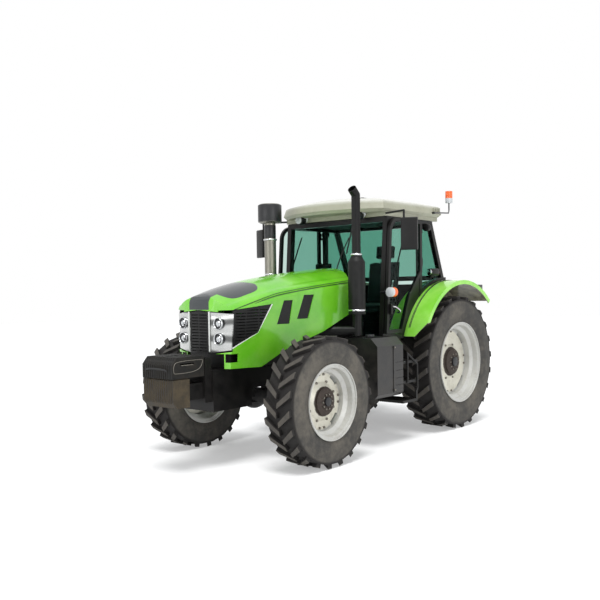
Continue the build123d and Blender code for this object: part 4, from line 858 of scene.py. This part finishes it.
def tank_fittings():
    barrel("fuel_cap", "chassis", (0.780, -0.180, 1.249), (0.780, -0.180, 1.286), 0.052, L["dark_lens"],
           40, 0.008)
    for i, z in enumerate((0.655, 1.135)):
        barrel(f"strap_bolt_{i}", "chassis", (1.004, -0.024, z), (1.020, -0.024, z), 0.011,
               L["bolt_steel"], 6)


def seat_frame():
    """Suspension base with its bellows, the pan under the cushion and the shell behind the back."""
    folds = []
    for i in range(6):
        wide = 0.350 if i % 2 else 0.318
        folds.append(slab("fold", "chassis", (0, 1.030, 1.148 + i * 0.062), (wide, wide - 0.020, 0.064),
                          L["cabin_dark"], (0, 0, 0), 0.014))
    for i, x in enumerate((-0.070, 0.070)):
        barrel(f"headrest_post_{i}", "chassis", (x, 1.262, 2.120), (x, 1.292, 2.260), 0.007, L["chrome"],
               20)
    made = [join_as("seat_bellows", "chassis", folds),
            slab("seat_pan", "chassis", (0, 1.015, 1.503), (0.470, 0.430, 0.030), L["cabin_dark"],
                 (0, 0, 0), 0.012),
            slab("seat_shell", "chassis", (0, 1.270, 1.880), (0.430, 0.028, 0.560), L["cabin_dark"],
                 (-8, 0, 0), 0.012)]
    for piece in made:
        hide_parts("driver_seat")


PADS = (("seat_cushion", (0, 1.010, 1.562), (0.476, 0.424, 0.084), (3, 0, 0)),
        ("seat_back", (0, 1.222, 1.885), (0.446, 0.070, 0.540), (-8, 0, 0)),
        ("seat_headrest", (0, 1.300, 2.290), (0.270, 0.080, 0.170), (-8, 0, 0)))
PAD_SWELL = 0.009           # the furthest a point of a pad may move


def padded_seat():
    """The seat's pads as stuffed covers: blown up by the cloth solver, held to a small swell, frozen."""
    for name, centre, size, turn in PADS:
        deselect()
        bpy.ops.mesh.primitive_cube_add(size=1.0, location=centre, rotation=[math.radians(t) for t in turn])
        pad = bpy.context.object
        pad.scale = size
        soften(pad, 0.024, 4)
        bpy.ops.object.transform_apply(location=True, rotation=True, scale=True)
        grid = pad.modifiers.new("grid", "REMESH")
        grid.mode = "VOXEL"
        grid.voxel_size = 0.006
        bpy.ops.object.modifier_apply(modifier="grid")
        start = [point.co.copy() for point in pad.data.vertices]
        cloth = pad.modifiers.new("stuffing", "CLOTH")
        cloth.settings.use_pressure = True
        cloth.settings.uniform_pressure_force = 4.0
        cloth.settings.effector_weights.gravity = 0.0
        cloth.point_cache.frame_start, cloth.point_cache.frame_end = 1, 20
        for moment in range(1, 21):
            bpy.context.scene.frame_set(moment)
        bpy.ops.object.modifier_apply(modifier="stuffing")
        for point, first in zip(pad.data.vertices, start):
            shift = point.co - first
            if shift.length > PAD_SWELL:
                point.co = first + shift.normalized() * PAD_SWELL
        bpy.context.scene.frame_set(1)
        crown = pad.modifiers.new("crown", "SUBSURF")
        crown.levels = crown.render_levels = 1
        bpy.ops.object.modifier_apply(modifier="crown")
        settle(pad, name, "chassis", *L["cloth"], 60)
        if name != "seat_headrest":
            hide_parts("driver_seat")


# ---- studio ----------------------------------------------------------------------
CAMERA_PLACE = Vector((5.821, -7.269, 1.766))
CAMERA_AZIMUTH = math.radians(40.142)
CAMERA_TILT = math.radians(2.033)
CAMERA_ROLL = math.radians(-0.811)
CAMERA_LENS = 46.03
CAMERA_SHIFT = (-0.0104, 0.0333)


def place_camera():
    data = bpy.data.cameras.new("camera")
    data.lens = CAMERA_LENS
    data.sensor_width = 36.0
    data.shift_x, data.shift_y = CAMERA_SHIFT
    data.clip_end = 200.0
    camera = bpy.data.objects.new("camera", data)
    bpy.context.scene.collection.objects.link(camera)
    turn, tilt = CAMERA_AZIMUTH, CAMERA_TILT
    back = Vector((math.sin(turn) * math.cos(tilt), -math.cos(turn) * math.cos(tilt), math.sin(tilt)))
    right = Vector((math.cos(turn), math.sin(turn), 0.0))
    up = back.cross(right)
    rolled = right * math.cos(CAMERA_ROLL) + up * math.sin(CAMERA_ROLL)
    camera.matrix_world = Matrix((rolled, back.cross(rolled), back)).transposed().to_4x4()
    camera.location = CAMERA_PLACE
    bpy.context.scene.camera = camera


def area_light(name, place, aim, size, power, colour=(1.0, 1.0, 1.0)):
    data = bpy.data.lights.new(name, "AREA")
    data.shape = "RECTANGLE"
    data.size, data.size_y = size
    data.energy = power
    data.color = colour
    lamp = bpy.data.objects.new(name, data)
    bpy.context.scene.collection.objects.link(lamp)
    lamp.location = place
    lamp.rotation_euler = (Vector(aim) - Vector(place)).to_track_quat("-Z", "Y").to_euler()


def seen(f):
    """1 where the camera sees a thing, straight or by way of metal or glass."""
    path = f.tree.nodes.new("ShaderNodeLightPath")
    straight, mirrored, through = (Wire(f, path.outputs[f"Is {kind} Ray"])
                                   for kind in ("Camera", "Glossy", "Transmission"))
    return straight.larger(mirrored).larger(through)


def build_studio():
    bpy.ops.mesh.primitive_plane_add(size=80.0, location=(0, 0, -0.001))
    floor = bpy.context.object
    floor.name = "floor"
    f = Finish("floor_paint")
    f.surface(Base_Color=(1.0, 1.0, 1.0), Roughness=1.0, Specular_IOR_Level=0.0)
    floor.data.materials.append(f.material)
    glow = f.tree.nodes.new("ShaderNodeEmission")
    glow.inputs["Strength"].default_value = 1.0
    mixer = f.tree.nodes.new("ShaderNodeMixShader")
    share = seen(f) * 0.35
    f.tree.links.new(share.socket, mixer.inputs[0])
    f.tree.links.new(f.output.inputs[0].links[0].from_socket, mixer.inputs[1])
    f.tree.links.new(glow.outputs[0], mixer.inputs[2])
    f.tree.links.new(mixer.outputs[0], f.output.inputs[0])
    world = bpy.data.worlds.new("studio")
    bpy.context.scene.world = world
    world.use_nodes = True
    tree = world.node_tree
    tree.nodes.clear()
    out = tree.nodes.new("ShaderNodeOutputWorld")
    mixer = tree.nodes.new("ShaderNodeMixShader")
    lit = tree.nodes.new("ShaderNodeBackground")
    shown = tree.nodes.new("ShaderNodeBackground")
    path = tree.nodes.new("ShaderNodeLightPath")
    lit.inputs["Color"].default_value = (0.95, 0.98, 1.0, 1.0)
    lit.inputs["Strength"].default_value = 0.55
    shown.inputs["Color"].default_value = (1.0, 1.0, 1.0, 1.0)
    shown.inputs["Strength"].default_value = 1.0
    direct = tree.nodes.new("ShaderNodeMath")
    direct.operation = "MAXIMUM"
    tree.links.new(path.outputs["Is Camera Ray"], direct.inputs[0])
    tree.links.new(path.outputs["Is Transmission Ray"], direct.inputs[1])
    mirrored = tree.nodes.new("ShaderNodeMath")
    mirrored.operation = "MAXIMUM"
    tree.links.new(direct.outputs[0], mirrored.inputs[0])
    tree.links.new(path.outputs["Is Glossy Ray"], mirrored.inputs[1])
    tree.links.new(mirrored.outputs[0], mixer.inputs[0])
    tree.links.new(lit.outputs[0], mixer.inputs[1])
    tree.links.new(shown.outputs[0], mixer.inputs[2])
    tree.links.new(mixer.outputs[0], out.inputs[0])
    sun = bpy.data.lights.new("sun", "SUN")
    sun.energy = 2.6
    sun.angle = math.radians(24)
    lamp = bpy.data.objects.new("sun", sun)
    bpy.context.scene.collection.objects.link(lamp)
    lamp.rotation_euler = Vector((-0.26, 0.34, -0.95)).to_track_quat("-Z", "Y").to_euler()
    area_light("side", (9.0, -3.0, 3.2), (0, 0, 1.2), (4.0, 5.0), 150.0)
    area_light("front", (-1.5, -11.0, 3.5), (0, -1.0, 1.2), (6.0, 4.0), 150.0)
    bpy.context.scene.view_settings.view_transform = "Standard"


FINISHES = dress_frame()
looks()
both(wheel_bolts)
both(headlamp_units)
both(hood_trim)
both(door_fittings)
both(outside_fittings)
cab_inside()
roof_fittings()
stack_fittings()
weight_fittings()
tank_fittings()
seat_frame()
padded_seat()
place_camera()
build_studio()
